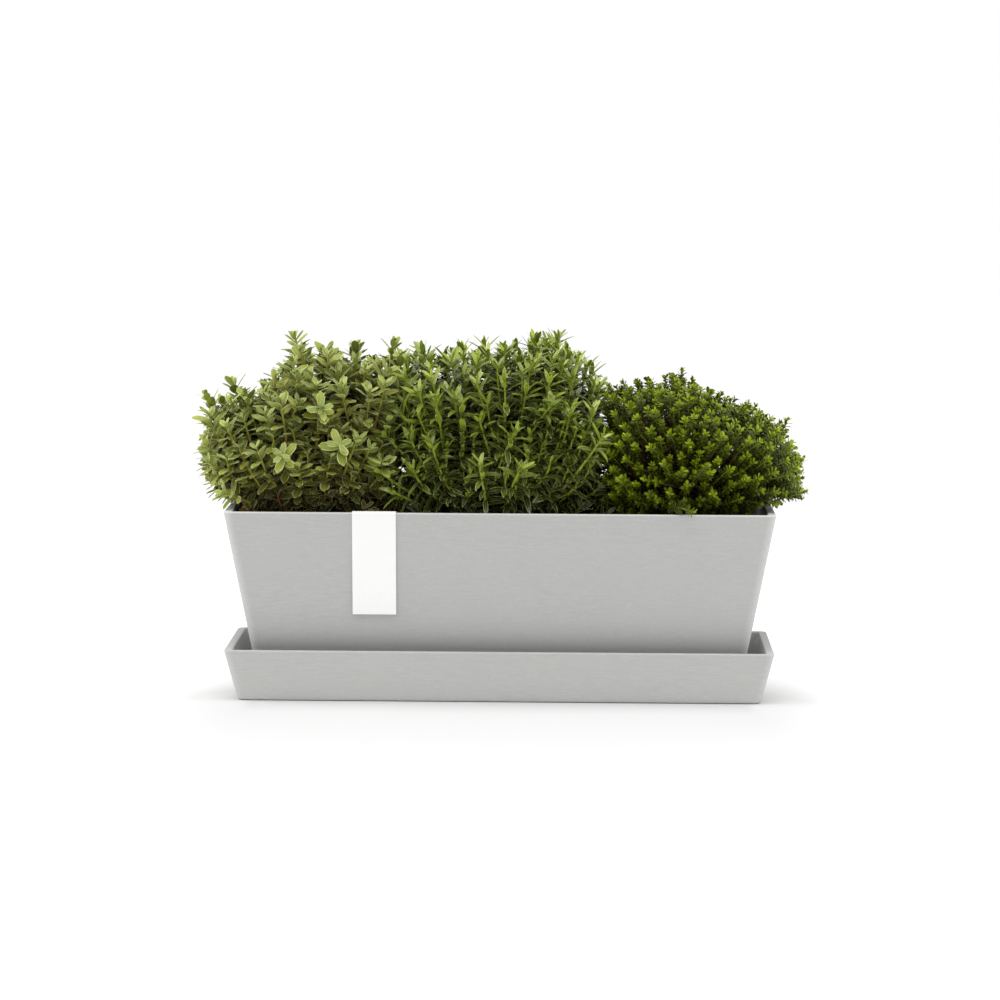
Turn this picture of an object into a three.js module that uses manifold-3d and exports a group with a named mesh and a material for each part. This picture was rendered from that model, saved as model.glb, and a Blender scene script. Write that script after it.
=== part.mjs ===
// A windowsill planter: a drafted rectangular pot that stands loose in a matching saucer,
// planted with three small evergreen shrubs, with a blank card label hooked over its front rim.
// Millimetres, +Z up, +X along the pot, the front faces -Y. The origin is the middle of the
// saucer's underside.
import * as THREE from "three";
import { mergeVertices } from "three/addons/utils/BufferGeometryUtils.js";
import Module from "manifold-3d";

const wasm = await Module();
wasm.setup();

// The pot, measured at its rim. A draft is how far a wall leans out per millimetre of height.
const POT_LENGTH = 366;
const POT_WIDTH = 122;
const POT_HEIGHT = 121.5;
const POT_DRAFT = 0.185;
const POT_WALL = 5.5;
const POT_FLOOR = 5;
const POT_CORNER_RADIUS = 6.5;

// The foot rim under the pot holds its drain holes off the saucer, and notches let the water out.
const FOOT_RIM_WIDTH = 9;
const FOOT_RIM_HEIGHT = 2.5;
const FOOT_NOTCH_WIDTH = 14;
const DRAIN_HOLE_DIAMETER = 16;

// The saucer: it leaves the same clearance all round the pot's base.
const SAUCER_CLEARANCE = 9.5;
const SAUCER_HEIGHT = 34.2;
const SAUCER_DRAFT = 0.251;
const SAUCER_WALL = 5.5;
const SAUCER_FLOOR = 4.8;
const SAUCER_CORNER_RADIUS = 5.5;

// Moulded edges of both tubs, and how finely their round corners are stepped.
const RIM_EDGE_RADIUS = 0.9;
const BASE_EDGE_RADIUS = 2;
const INNER_EDGE_RADIUS = 3;
const LEAST_INNER_CORNER = 1.5;
const CORNER_STEPS = 4;
const EDGE_STEPS = 2;
const HOLE_SIDES = 16;

// The card label: a strip folded over the front rim, with a short flap that ends above the soil.
const LABEL_WIDTH = 29;
const LABEL_DROP = 68.7;
const LABEL_THICKNESS = 0.5;
const LABEL_CENTRE_X = -83;
const LABEL_ABOVE_SOIL = 3;

// The soil, and how much of it is left around and below the root balls.
const SOIL_BELOW_RIM = 14;
const SOIL_BESIDE_ROOTS = 10;
const SOIL_BETWEEN_ROOTS = 26;
const SOIL_UNDER_ROOTS = 20;
const ROOT_BALL_RADIUS = 14;
const ROOT_BALL_PROUD = 2;

// The crowns: the outer two overhang the pot's ends and fall towards them, and the middle one is
// this long each way.
const CROWN_OVERHANG = 23;
const CROWN_SHARE = 69;
const CROWN_GAP = 8;
const CROWN_DEPTH = 122;
const LEFT_CROWN_HEIGHT = 132;
const MIDDLE_CROWN_HEIGHT = 133;
const RIGHT_CROWN_HEIGHT = 106;
const CROWN_END_FALL = 30;
const CROWN_EDGE_HEIGHT = 36;

// How the shrubs grow. Shares run from 0 to 1 along a shoot, or from a crown's middle to its edge.
const STOOL_RADIUS = 8;
const STOOL_HEIGHT = 8;
const STOOL_TAPER = 0.7;
const STOOL_SIDES = 10;
const STEM_FOOT_SHARE = 0.4;
const BRANCH_SHARE = 0.3;
const ELBOW_OUT = 0.6;
const ELBOW_UP = 0.45;
const ROW_TURN = 0.4;
const TIP_WANDER = 0.6;
const LOWEST_TIP = 0.85;
const CROWN_SQUARENESS = 0.6;
const LEAF_BROADEST = 0.55;
const LEAF_FOLD = [1.15, 0.75];
const LEAF_OVERHANG = 0.6;
const LEAF_PROBES = [0.3, 0.65, 1];
const STEM_STEPS = 24;

// The gap that pieces keep where they rest on each other.
const SEAT_GAP = 0.3;

// Heights and spacings that follow from the sizes above.
const POT_BASE_Z = SAUCER_FLOOR + SEAT_GAP;
const RIM_Z = POT_BASE_Z + POT_HEIGHT;
const SOIL_Z = RIM_Z - SOIL_BELOW_RIM;
const SOIL_BOTTOM_Z = POT_BASE_Z + FOOT_RIM_HEIGHT + POT_FLOOR + SEAT_GAP;
const ROOT_TOP_Z = SOIL_Z + ROOT_BALL_PROUD;
const ROOT_BOTTOM_Z = SOIL_BOTTOM_Z + SOIL_UNDER_ROOTS;
const soilInset = (z) => POT_WALL + SEAT_GAP + POT_DRAFT * (RIM_Z - z);
const ROOT_DEPTH = POT_WIDTH - 2 * soilInset(SOIL_Z) - 2 * SOIL_BESIDE_ROOTS;
const ROOT_ROW = POT_LENGTH - 2 * soilInset(SOIL_Z) - 2 * SOIL_BESIDE_ROOTS;
const ROOT_LENGTH = (ROOT_ROW - 2 * SOIL_BETWEEN_ROOTS) / 3;
const PLANT_SPACING = ROOT_LENGTH + SOIL_BETWEEN_ROOTS;
const CROWN_END = POT_LENGTH / 2 + CROWN_OVERHANG;

// Each shrub: its place, the reach and height of its crown, its stems, and its leaves. Leaf
// lengths run from the lowest pair to the highest, and stem radii from the foot to the tip.
const SHRUBS = [
  {
    name: "left",
    rootX: -PLANT_SPACING,
    crown: { from: -CROWN_END, to: -CROWN_SHARE - CROWN_GAP, height: LEFT_CROWN_HEIGHT, outward: -1 },
    mainStems: 6,
    shoots: 27,
    stemRadius: [2, 0.9],
    bareShare: 0.5,
    leafRows: 4,
    leafLength: [20, 15],
    leafWidth: 9,
    leafRoom: 6.5,
    leafAngle: 62,
    needles: false,
    colour: 0x8b9a5b,
  },
  {
    name: "middle",
    rootX: 0,
    crown: { from: -CROWN_SHARE, to: CROWN_SHARE, height: MIDDLE_CROWN_HEIGHT, outward: 0 },
    mainStems: 6,
    shoots: 23,
    stemRadius: [1.9, 0.8],
    bareShare: 0.44,
    leafRows: 5,
    leafLength: [20, 13],
    leafWidth: 5,
    leafRoom: 5.5,
    leafAngle: 64,
    needles: false,
    colour: 0x5d7a24,
  },
  {
    name: "right",
    rootX: PLANT_SPACING,
    crown: { from: CROWN_SHARE + CROWN_GAP, to: CROWN_END, height: RIGHT_CROWN_HEIGHT, outward: 1 },
    mainStems: 7,
    shoots: 39,
    stemRadius: [2, 1.1],
    bareShare: 0.55,
    leafRows: 4,
    leafLength: [13, 10],
    leafRoom: 4.5,
    leafAngle: 55,
    needles: true,
    colour: 0x4f7016,
  },
];

const MATERIALS = {
  stoneResin: new THREE.MeshStandardMaterial({ color: 0xb4b4b2, roughness: 0.75, metalness: 0 }),
  card: new THREE.MeshStandardMaterial({ color: 0xf5f5f4, roughness: 0.85, metalness: 0 }),
  soil: new THREE.MeshStandardMaterial({ color: 0x2a211a, roughness: 1, metalness: 0 }),
  roots: new THREE.MeshStandardMaterial({ color: 0x3a2d20, roughness: 1, metalness: 0 }),
};

// Solids and booleans

function solidOf(geometry) {
  const bare = geometry.clone();
  bare.deleteAttribute("normal");
  bare.deleteAttribute("uv");
  const merged = mergeVertices(bare, 1e-4);
  return new wasm.Manifold(
    new wasm.Mesh({
      numProp: 3,
      vertProperties: merged.getAttribute("position").array,
      triVerts: new Uint32Array(merged.index.array),
    }),
  );
}

function geometryOf(solid) {
  const mesh = solid.getMesh();
  const geometry = new THREE.BufferGeometry();
  geometry.setAttribute("position", new THREE.BufferAttribute(mesh.vertProperties, 3));
  geometry.setIndex(new THREE.BufferAttribute(mesh.triVerts, 1));
  return geometry;
}

function cut(geometry, tools) {
  return geometryOf(tools.reduce((solid, tool) => solid.subtract(solidOf(tool)), solidOf(geometry)));
}

function fuse([first, ...others]) {
  return geometryOf(others.reduce((solid, other) => solid.add(solidOf(other)), solidOf(first)));
}

// Lofts of rounded rectangles

function roundedRing(length, width, radius, z) {
  const ring = [];
  const corners = [
    [1, 1],
    [-1, 1],
    [-1, -1],
    [1, -1],
  ];
  corners.forEach(([sideX, sideY], quarter) => {
    for (let step = 0; step <= CORNER_STEPS; step++) {
      const angle = ((quarter + step / CORNER_STEPS) * Math.PI) / 2;
      const x = sideX * (length / 2 - radius) + radius * Math.cos(angle);
      const y = sideY * (width / 2 - radius) + radius * Math.sin(angle);
      ring.push(new THREE.Vector3(x, y, z));
    }
  });
  return ring;
}

// Joins rings of equal point counts, in order, and closes both ends with a flat fan.
function loft(rings) {
  const count = rings[0].length;
  const triangles = [];
  for (let r = 0; r + 1 < rings.length; r++) {
    for (let i = 0; i < count; i++) {
      const a = r * count + i;
      const b = r * count + ((i + 1) % count);
      triangles.push(a, b, b + count, a, b + count, a + count);
    }
  }
  const last = (rings.length - 1) * count;
  for (let i = 1; i + 1 < count; i++) {
    triangles.push(0, i + 1, i);
    triangles.push(last, last + i, last + i + 1);
  }
  const geometry = new THREE.BufferGeometry().setFromPoints(rings.flat());
  geometry.setIndex(triangles);
  return geometry;
}

// An open tub with leaning walls: a wall profile, inset against height, carried round the rim.
function tubGeometry({ length, width, height, draft, wall, floor, cornerRadius }) {
  const lean = (z) => draft * (height - z);
  const outside = new THREE.Path();
  outside.moveTo(lean(0) + BASE_EDGE_RADIUS, 0);
  outside.quadraticCurveTo(lean(0), 0, lean(BASE_EDGE_RADIUS), BASE_EDGE_RADIUS);
  outside.lineTo(lean(height - RIM_EDGE_RADIUS), height - RIM_EDGE_RADIUS);
  outside.quadraticCurveTo(0, height, RIM_EDGE_RADIUS, height);
  const inside = new THREE.Path();
  inside.moveTo(wall - RIM_EDGE_RADIUS, height);
  inside.quadraticCurveTo(wall, height, wall + lean(height - RIM_EDGE_RADIUS), height - RIM_EDGE_RADIUS);
  inside.lineTo(wall + lean(floor + INNER_EDGE_RADIUS), floor + INNER_EDGE_RADIUS);
  inside.quadraticCurveTo(wall + lean(floor), floor, wall + lean(floor) + INNER_EDGE_RADIUS, floor);
  const innerRadius = Math.max(cornerRadius - wall, LEAST_INNER_CORNER);
  const ringOf = (radius) => (p) => roundedRing(length - 2 * p.x, width - 2 * p.x, radius, p.y);
  return loft([
    ...outside.getPoints(EDGE_STEPS).map(ringOf(cornerRadius)),
    ...inside.getPoints(EDGE_STEPS).map(ringOf(innerRadius)),
  ]);
}

// The two tubs

function saucerGeometry() {
  const aroundBase = 2 * (SAUCER_CLEARANCE + SAUCER_WALL + SAUCER_DRAFT * (SAUCER_HEIGHT - SAUCER_FLOOR));
  const potBaseInset = POT_DRAFT * POT_HEIGHT;
  return tubGeometry({
    length: POT_LENGTH - 2 * potBaseInset + aroundBase,
    width: POT_WIDTH - 2 * potBaseInset + aroundBase,
    height: SAUCER_HEIGHT,
    draft: SAUCER_DRAFT,
    wall: SAUCER_WALL,
    floor: SAUCER_FLOOR,
    cornerRadius: SAUCER_CORNER_RADIUS,
  });
}

function potGeometry() {
  const tub = tubGeometry({
    length: POT_LENGTH,
    width: POT_WIDTH,
    height: POT_HEIGHT,
    draft: POT_DRAFT,
    wall: POT_WALL,
    floor: POT_FLOOR + FOOT_RIM_HEIGHT,
    cornerRadius: POT_CORNER_RADIUS,
  });
  const recessInset = POT_DRAFT * POT_HEIGHT + FOOT_RIM_WIDTH;
  const recessRing = (z) =>
    roundedRing(POT_LENGTH - 2 * recessInset, POT_WIDTH - 2 * recessInset, POT_CORNER_RADIUS, z);
  const tools = [loft([recessRing(-FOOT_RIM_HEIGHT), recessRing(FOOT_RIM_HEIGHT)])];
  for (const side of [-1, 1]) {
    const notch = new THREE.BoxGeometry(FOOT_NOTCH_WIDTH, POT_WIDTH, 2 * FOOT_RIM_HEIGHT);
    tools.push(notch.translate((side * PLANT_SPACING) / 2, 0, 0));
  }
  const radius = DRAIN_HOLE_DIAMETER / 2;
  for (const shrub of SHRUBS) {
    const hole = new THREE.CylinderGeometry(radius, radius, 4 * (POT_FLOOR + FOOT_RIM_HEIGHT), HOLE_SIDES);
    tools.push(hole.rotateX(Math.PI / 2).translate(shrub.rootX, 0, 0));
  }
  return cut(tub, tools).translate(0, 0, POT_BASE_Z);
}

// The label: its folded strip seen from the end, extruded along X.
function labelGeometry() {
  const along = Math.hypot(1, POT_DRAFT);
  const bottomZ = RIM_Z - LABEL_DROP;
  const flapZ = SOIL_Z + LABEL_ABOVE_SOIL;
  const frontY = (z) => -POT_WIDTH / 2 + POT_DRAFT * (RIM_Z - z);
  const strip = (off) => {
    const topZ = RIM_Z + off;
    return [
      new THREE.Vector2(frontY(bottomZ) - off * along, bottomZ),
      new THREE.Vector2(frontY(topZ) - off * along, topZ),
      new THREE.Vector2(frontY(topZ) + POT_WALL + off * along, topZ),
      new THREE.Vector2(frontY(flapZ) + POT_WALL + off * along, flapZ),
    ];
  };
  const outline = new THREE.Shape([...strip(SEAT_GAP + LABEL_THICKNESS), ...strip(SEAT_GAP).reverse()]);
  const geometry = new THREE.ExtrudeGeometry(outline, { depth: LABEL_WIDTH, bevelEnabled: false });
  // The outline's x and y become the part's Y and Z, and the extrusion runs along X.
  geometry.applyMatrix4(new THREE.Matrix4().set(0, 0, 1, 0, 1, 0, 0, 0, 0, 1, 0, 0, 0, 0, 0, 1));
  return geometry.translate(LABEL_CENTRE_X - LABEL_WIDTH / 2, 0, 0);
}

// The soil and the root balls set in it

function rootBallGeometry(shrub, grow) {
  const ringAt = (z) => {
    const inset = POT_DRAFT * (SOIL_Z - z) - grow;
    return roundedRing(ROOT_LENGTH - 2 * inset, ROOT_DEPTH - 2 * inset, ROOT_BALL_RADIUS, z);
  };
  return loft([ringAt(ROOT_BOTTOM_Z - grow), ringAt(ROOT_TOP_Z + grow)]).translate(shrub.rootX, 0, 0);
}

function soilGeometry() {
  const innerRadius = Math.max(POT_CORNER_RADIUS - POT_WALL, LEAST_INNER_CORNER);
  const ringAt = (z, extra) => {
    const inset = soilInset(z) + extra;
    return roundedRing(POT_LENGTH - 2 * inset, POT_WIDTH - 2 * inset, innerRadius, z);
  };
  const block = loft([
    ringAt(SOIL_BOTTOM_Z, INNER_EDGE_RADIUS),
    ringAt(SOIL_BOTTOM_Z + INNER_EDGE_RADIUS, 0),
    ringAt(SOIL_Z, 0),
  ]);
  return cut(block, SHRUBS.map((shrub) => rootBallGeometry(shrub, SEAT_GAP)));
}

// Leafy shoots

// A repeatable share from 0 to 1, so that no two shoots are alike.
function variation(index, kind) {
  const wave = Math.sin(index * 12.9898 + kind * 78.233) * 43758.5453;
  return wave - Math.floor(wave);
}

// The space inside a crown. A leaf grows only where it keeps clear of other shoots and their leaves.
function makeSpace(curves, clearance) {
  const taken = [];
  const take = (points, owner) => taken.push(...points.map((point) => ({ point, owner })));
  const clearOf = (points, other) => points.every((point) => point.distanceTo(other.point) > clearance);
  const isFree = (points, owner) =>
    taken.every((other) => other.owner === owner || clearOf(points, other));
  curves.forEach((curve, owner) => take(curve.getSpacedPoints(STEM_STEPS), owner));
  return { isFree, take };
}

// A shoot is a square stem, one ring of four corners per row of leaves, each ring turned a little
// from the last. Every side between two rings carries a leaf, so a row is two crossed pairs.
function shootGeometry(curve, owner, space, shrub) {
  const nodes = shrub.leafRows + 1;
  const shares = [0];
  for (let i = 0; i < nodes; i++) {
    shares.push(THREE.MathUtils.lerp(shrub.bareShare, 1, i / (nodes - 1)));
  }
  const frames = curve.computeFrenetFrames(STEM_STEPS, false);
  const frameAt = (i) => Math.round(shares[i] * STEM_STEPS);
  const points = [];
  const triangles = [];
  shares.forEach((share, i) => {
    const radius = THREE.MathUtils.lerp(...shrub.stemRadius, share) * Math.SQRT2;
    for (let corner = 0; corner < 4; corner++) {
      const angle = ((corner + 0.5) * Math.PI) / 2 + i * ROW_TURN;
      const point = curve.getPointAt(share);
      point.addScaledVector(frames.normals[frameAt(i)], radius * Math.cos(angle));
      point.addScaledVector(frames.binormals[frameAt(i)], radius * Math.sin(angle));
      points.push(point);
    }
  });
  triangles.push(0, 2, 1, 0, 3, 2);
  for (let i = 0; i < nodes; i++) {
    for (let side = 0; side < 4; side++) {
      const a = 4 * i + side;
      const b = 4 * i + ((side + 1) % 4);
      const quad = [a, b, b + 4, a + 4];
      const corners = quad.map((corner) => points[corner]);
      const leaf = leafPlan(corners, frames.tangents[frameAt(i)], shrub, i / nodes);
      const held = LEAF_PROBES.map((share) => leaf.base.clone().lerp(leaf.tip, share));
      if (i > 0 && space.isFree(held, owner)) {
        space.take(held, owner);
        addLeaf(points, triangles, quad, leaf, shrub);
      } else {
        triangles.push(a, b, b + 4, a, b + 4, a + 4);
      }
    }
  }
  const top = 4 * nodes;
  const tip = points.length;
  points.push(curve.getPointAt(1).addScaledVector(frames.tangents[STEM_STEPS], shrub.leafLength[1] / 2));
  for (let side = 0; side < 4; side++) triangles.push(top + side, top + ((side + 1) % 4), tip);
  const geometry = new THREE.BufferGeometry().setFromPoints(points);
  geometry.setIndex(triangles);
  return geometry;
}

// Where a leaf stands on a side of the stem, given by its corners: lower left, lower right, upper
// right and upper left.
function leafPlan(corners, tangent, shrub, share) {
  const base = new THREE.Vector3();
  for (const corner of corners) base.addScaledVector(corner, 1 / corners.length);
  const across = corners[1].clone().sub(corners[0]).normalize();
  const outward = across.clone().cross(tangent).normalize();
  const angle = THREE.MathUtils.degToRad(shrub.leafAngle) * THREE.MathUtils.lerp(...LEAF_FOLD, share);
  const along = tangent.clone().multiplyScalar(Math.cos(angle)).addScaledVector(outward, Math.sin(angle));
  const tip = base.clone().addScaledVector(along, THREE.MathUtils.lerp(...shrub.leafLength, share));
  return { base, tip, across };
}

// Grows the leaf out of that side. A broad leaf is widest past its middle, with a rib along the top,
// and a needle runs straight to its tip.
function addLeaf(points, triangles, [a, b, c, d], leaf, shrub) {
  const tip = points.length;
  points.push(leaf.tip);
  if (shrub.needles) {
    triangles.push(a, b, tip, b, c, tip, c, d, tip, d, a, tip);
    return;
  }
  const [left, right] = [tip + 1, tip + 2];
  const broad = leaf.base.clone().lerp(leaf.tip, LEAF_BROADEST);
  points.push(broad.clone().addScaledVector(leaf.across, -shrub.leafWidth / 2));
  points.push(broad.clone().addScaledVector(leaf.across, shrub.leafWidth / 2));
  triangles.push(a, b, right, a, right, left, right, tip, left);
  triangles.push(d, left, tip, d, tip, c, c, tip, right, a, left, d, b, c, right);
}

// The tip of a shoot on its crown, which is a rounded block. The order runs from 0 in the middle of
// the top, over the shoulder, to 1 low on the side, and the tips turn about the crown by the golden
// angle.
function crownTip(shrub, i, order, baseZ) {
  const { from, to, height, outward } = shrub.crown;
  const squared = (share) => Math.sign(share) * Math.abs(share) ** CROWN_SQUARENESS;
  const reach = (1 - LEAF_OVERHANG) * shrub.leafLength[0];
  const golden = Math.PI * (3 - Math.sqrt(5));
  const turn = i * golden + TIP_WANDER * variation(i, 1);
  const slope = (order * Math.PI) / 2;
  const spread = squared(Math.sin(slope));
  const along = spread * squared(Math.cos(turn));
  const across = spread * squared(Math.sin(turn));
  const fall = CROWN_END_FALL * Math.max(0, outward * along) ** 2;
  const top = (height - fall) * THREE.MathUtils.lerp(LOWEST_TIP, 1, variation(i, 2));
  return new THREE.Vector3(
    (from + to) / 2 + ((to - from) / 2 - reach) * along,
    (CROWN_DEPTH / 2 - reach) * across,
    baseZ + THREE.MathUtils.lerp(CROWN_EDGE_HEIGHT, top, squared(Math.cos(slope))),
  );
}

// A shrub: the first shoots rise from a short woody stool as main stems, and each later one branches
// off the main stem nearest to it.
function shrubGeometry(shrub) {
  const baseZ = ROOT_TOP_Z + SEAT_GAP;
  const stoolTop = STOOL_TAPER * STOOL_RADIUS;
  const stool = new THREE.CylinderGeometry(stoolTop, STOOL_RADIUS, STOOL_HEIGHT, STOOL_SIDES);
  stool.rotateX(Math.PI / 2).translate(shrub.rootX, 0, baseZ + STOOL_HEIGHT / 2);
  const curves = [];
  for (let i = 0; i < shrub.shoots; i++) {
    const main = i < shrub.mainStems;
    const branches = shrub.shoots - shrub.mainStems;
    const order = main ? (i + 0.5) / shrub.mainStems : (i - shrub.mainStems + 1) / branches;
    const tip = crownTip(shrub, i, order, baseZ);
    const base = new THREE.Vector3(shrub.rootX, 0, baseZ + STEM_FOOT_SHARE * STOOL_HEIGHT);
    if (!main) {
      const mains = curves.slice(0, shrub.mainStems);
      const nearest = mains.reduce((a, b) => (a.v2.distanceTo(tip) < b.v2.distanceTo(tip) ? a : b));
      base.copy(nearest.getPointAt(BRANCH_SHARE));
    }
    const elbow = base.clone().lerp(tip, ELBOW_OUT);
    elbow.z = THREE.MathUtils.lerp(base.z, tip.z, ELBOW_UP);
    curves.push(new THREE.QuadraticBezierCurve3(base, elbow, tip));
  }
  const space = makeSpace(curves, shrub.leafRoom);
  return fuse([stool, ...curves.map((curve, owner) => shootGeometry(curve, owner, space, shrub))]);
}

// The assembly

const planter = new THREE.Group();

function addPiece(name, geometry, material) {
  const mesh = new THREE.Mesh(geometry, material);
  mesh.name = name;
  planter.add(mesh);
}

addPiece("saucer", saucerGeometry(), MATERIALS.stoneResin);
addPiece("pot", potGeometry(), MATERIALS.stoneResin);
addPiece("label_card", labelGeometry(), MATERIALS.card);
addPiece("potting_soil", soilGeometry(), MATERIALS.soil);
for (const shrub of SHRUBS) {
  const leaf = new THREE.MeshStandardMaterial({ color: shrub.colour, roughness: 0.5, metalness: 0 });
  addPiece(`${shrub.name}_root_ball`, rootBallGeometry(shrub, 0), MATERIALS.roots);
  addPiece(`${shrub.name}_shrub`, shrubGeometry(shrub), leaf);
}

export default planter;
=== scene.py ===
import math
import random

import bmesh
import bpy
from bpy.props import EnumProperty, FloatProperty, FloatVectorProperty, IntProperty, PointerProperty
from mathutils import Matrix, Vector, noise


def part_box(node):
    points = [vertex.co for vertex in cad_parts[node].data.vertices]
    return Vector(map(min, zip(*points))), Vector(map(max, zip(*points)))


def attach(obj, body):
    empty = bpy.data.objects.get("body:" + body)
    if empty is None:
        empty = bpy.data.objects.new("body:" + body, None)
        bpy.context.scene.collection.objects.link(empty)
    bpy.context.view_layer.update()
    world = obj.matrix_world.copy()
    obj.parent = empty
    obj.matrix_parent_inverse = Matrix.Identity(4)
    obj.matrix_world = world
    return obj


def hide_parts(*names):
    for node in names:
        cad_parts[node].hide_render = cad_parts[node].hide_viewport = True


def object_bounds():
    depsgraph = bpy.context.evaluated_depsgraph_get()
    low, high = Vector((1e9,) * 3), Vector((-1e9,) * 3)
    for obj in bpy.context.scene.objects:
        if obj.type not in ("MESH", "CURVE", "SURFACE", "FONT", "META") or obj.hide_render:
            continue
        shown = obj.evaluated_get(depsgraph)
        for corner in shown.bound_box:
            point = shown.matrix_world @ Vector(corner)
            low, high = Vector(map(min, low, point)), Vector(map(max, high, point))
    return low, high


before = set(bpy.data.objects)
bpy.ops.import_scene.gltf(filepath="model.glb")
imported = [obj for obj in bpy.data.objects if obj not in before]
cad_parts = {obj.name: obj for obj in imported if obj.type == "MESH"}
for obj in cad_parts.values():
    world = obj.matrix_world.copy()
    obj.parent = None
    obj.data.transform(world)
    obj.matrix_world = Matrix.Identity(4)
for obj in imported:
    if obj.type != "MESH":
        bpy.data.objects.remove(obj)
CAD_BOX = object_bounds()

bl_info = {
    "name": "Planted Windowsill Pot",
    "version": (1, 0, 0),
    "blender": (4, 5, 0),
    "location": "View3D > Sidebar > Planter",
    "description": "Dresses the planted pot and its saucer: resin tubs, card label, soil and shrubs",
    "category": "Add Mesh",
}

MM = 0.001

# Places that the frame gives.
POT_BASE_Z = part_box("pot")[0].z
RIM_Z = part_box("pot")[1].z
SOIL_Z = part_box("potting_soil")[1].z
SOIL_BOTTOM_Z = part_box("potting_soil")[0].z
ROOT_TOP_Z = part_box("left_root_ball")[1].z
ROOT_BOTTOM_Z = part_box("left_root_ball")[0].z
SHRUB_FOOT_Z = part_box("left_shrub")[0].z
SIDES = ("left", "middle", "right")
CLEARANCE = 0.3 * MM


def middle_of(node):
    """The middle of a CAD node's box."""
    low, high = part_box(node)
    return (low + high) / 2


ROOT_X = {side: middle_of(side + "_root_ball").x for side in SIDES}


def linear(code):
    """An sRGB hex colour as linear red, green, blue and alpha."""
    channels = [int(code[i : i + 2], 16) / 255 for i in (0, 2, 4)]
    return tuple(c / 12.92 if c <= 0.04045 else ((c + 0.055) / 1.055) ** 2.4 for c in channels) + (1.0,)


# Settings: the sizes and colours that a user would change


def length(name, description, millimetres):
    """A length property, given in millimetres and kept in metres."""
    return FloatProperty(
        name=name, description=description, default=millimetres * MM, unit="LENGTH", precision=5
    )


def share(name, description, default):
    """A plain factor."""
    return FloatProperty(name=name, description=description, default=default)


def angle(name, description, degrees):
    """An angle property, given in degrees."""
    return FloatProperty(name=name, description=description, default=math.radians(degrees), subtype="ANGLE")


def colour(name, description, code):
    """A colour property, given as an sRGB hex value."""
    return FloatVectorProperty(
        name=name, description=description, default=linear(code), size=4, subtype="COLOR"
    )


class TubSettings(bpy.types.PropertyGroup):
    """Sizes and colours of the pot and the saucer."""

    pot_length: length("Pot length", "Length of the pot at its rim", 366)
    pot_width: length("Pot width", "Width of the pot at its rim", 122)
    pot_draft: share("Pot draft", "How far the pot's walls lean out per metre of height", 0.185)
    pot_wall: length("Pot wall", "Thickness of the pot's walls", 5.5)
    pot_floor: length("Pot floor", "Thickness of the pot's floor", 5)
    pot_corner: length("Pot corner", "Radius of the pot's upright corners", 6.5)
    foot_width: length("Foot width", "Width of the foot rim under the pot", 9)
    notch_width: length("Notch width", "Width of the water notches in the foot rim", 14)
    hole_diameter: length("Drain hole", "Diameter of the drain holes", 16)
    saucer_clearance: length("Saucer clearance", "Room between the pot's base and the saucer's wall", 9.5)
    saucer_draft: share("Saucer draft", "How far the saucer's walls lean out per metre of height", 0.251)
    saucer_wall: length("Saucer wall", "Thickness of the saucer's walls", 5.5)
    saucer_floor: length("Saucer floor", "Thickness of the saucer's floor", 4.8)
    saucer_corner: length("Saucer corner", "Radius of the saucer's upright corners", 5.5)
    rim_edge: length("Rim edge", "Rounding of the rims", 0.9)
    base_edge: length("Base edge", "Rounding under the walls", 2)
    inner_edge: length("Inner edge", "Rounding where walls meet the floor inside", 3)
    stone: colour("Stone", "Main colour of the stone resin", "aeaeac")
    streak: colour("Streak", "Colour of the dark drawn streaks", "a7a7a5")
    fleck: colour("Fleck", "Colour of the pale mineral flecks", "b5b5b3")
    # The next two set a painted highlight along the top of the pot's rim, and how far down it reaches.
    highlit: colour("Highlit rim", "Colour of the highlight painted on the pot's rim", "cacac8")
    highlight_depth: length("Highlight depth", "How far the rubbed rim reaches down", 0.8)


class LabelSettings(bpy.types.PropertyGroup):
    """Sizes and colour of the card label."""

    thickness: length("Thickness", "Thickness of the card", 0.45)
    fold: length("Fold radius", "Radius of the two folds over the rim", 0.9)
    lift: length("Lift", "How far the free lower end springs off the wall", 0.7)
    card: colour("Card", "Colour of the uncoated card", "eeeeec")


class SoilSettings(bpy.types.PropertyGroup):
    """Sizes and colours of the potting soil and the root balls."""

    crumb: length("Crumb", "Size of the larger crumbs", 3.2)
    crumb_spacing: length("Crumb spacing", "Least distance between crumbs", 2.2)
    unevenness: length("Unevenness", "How far the soil's top rises and falls", 1.2)
    root: length("Root", "Thickness of the roots on the root balls", 0.7)
    roots: IntProperty(name="Roots", description="Roots on each root ball", default=70)
    soil: colour("Soil", "Colour of the moist compost", "2b2119")
    bark: colour("Bark", "Colour of the bark crumbs", "4a3524")
    root_tint: colour("Root tint", "Colour of the roots", "b59d78")


class StageSettings(bpy.types.PropertyGroup):
    """The camera, the floor and the light."""

    camera_x: length("Camera X", "Place of the camera along the pot", 46.7)
    camera_y: length("Camera Y", "Place of the camera in front of the pot", -2667.4)
    camera_z: length("Camera Z", "Height of the camera", 393.4)
    pitch: angle("Pitch", "How far the camera looks down", 5.64)
    yaw: angle("Yaw", "How far the camera looks left", 1.02)
    roll: angle("Roll", "How far the camera leans", 0.31)
    lens: FloatProperty(name="Lens", description="Focal length in millimetres", default=142.92)
    key: FloatProperty(name="Key", description="Strength of the overhead lamp", default=2.32)
    key_spread: angle("Key spread", "How wide the overhead lamp looks from the pot", 50)
    panel_power: FloatProperty(name="Panel power", description="Watts of each side panel", default=9.8)
    fill: share("Fill", "Strength of the even light from all round", 0.335)
    floor: colour("Floor", "Colour of the floor", "fdfdfd")
    # Painted shade: close to the saucer the floor is darker for camera, gloss and glass rays only.
    painted_floor_shade: colour("Painted floor shade", "Colour of the shade painted on the floor close to the saucer", "c2c2c2")


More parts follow.
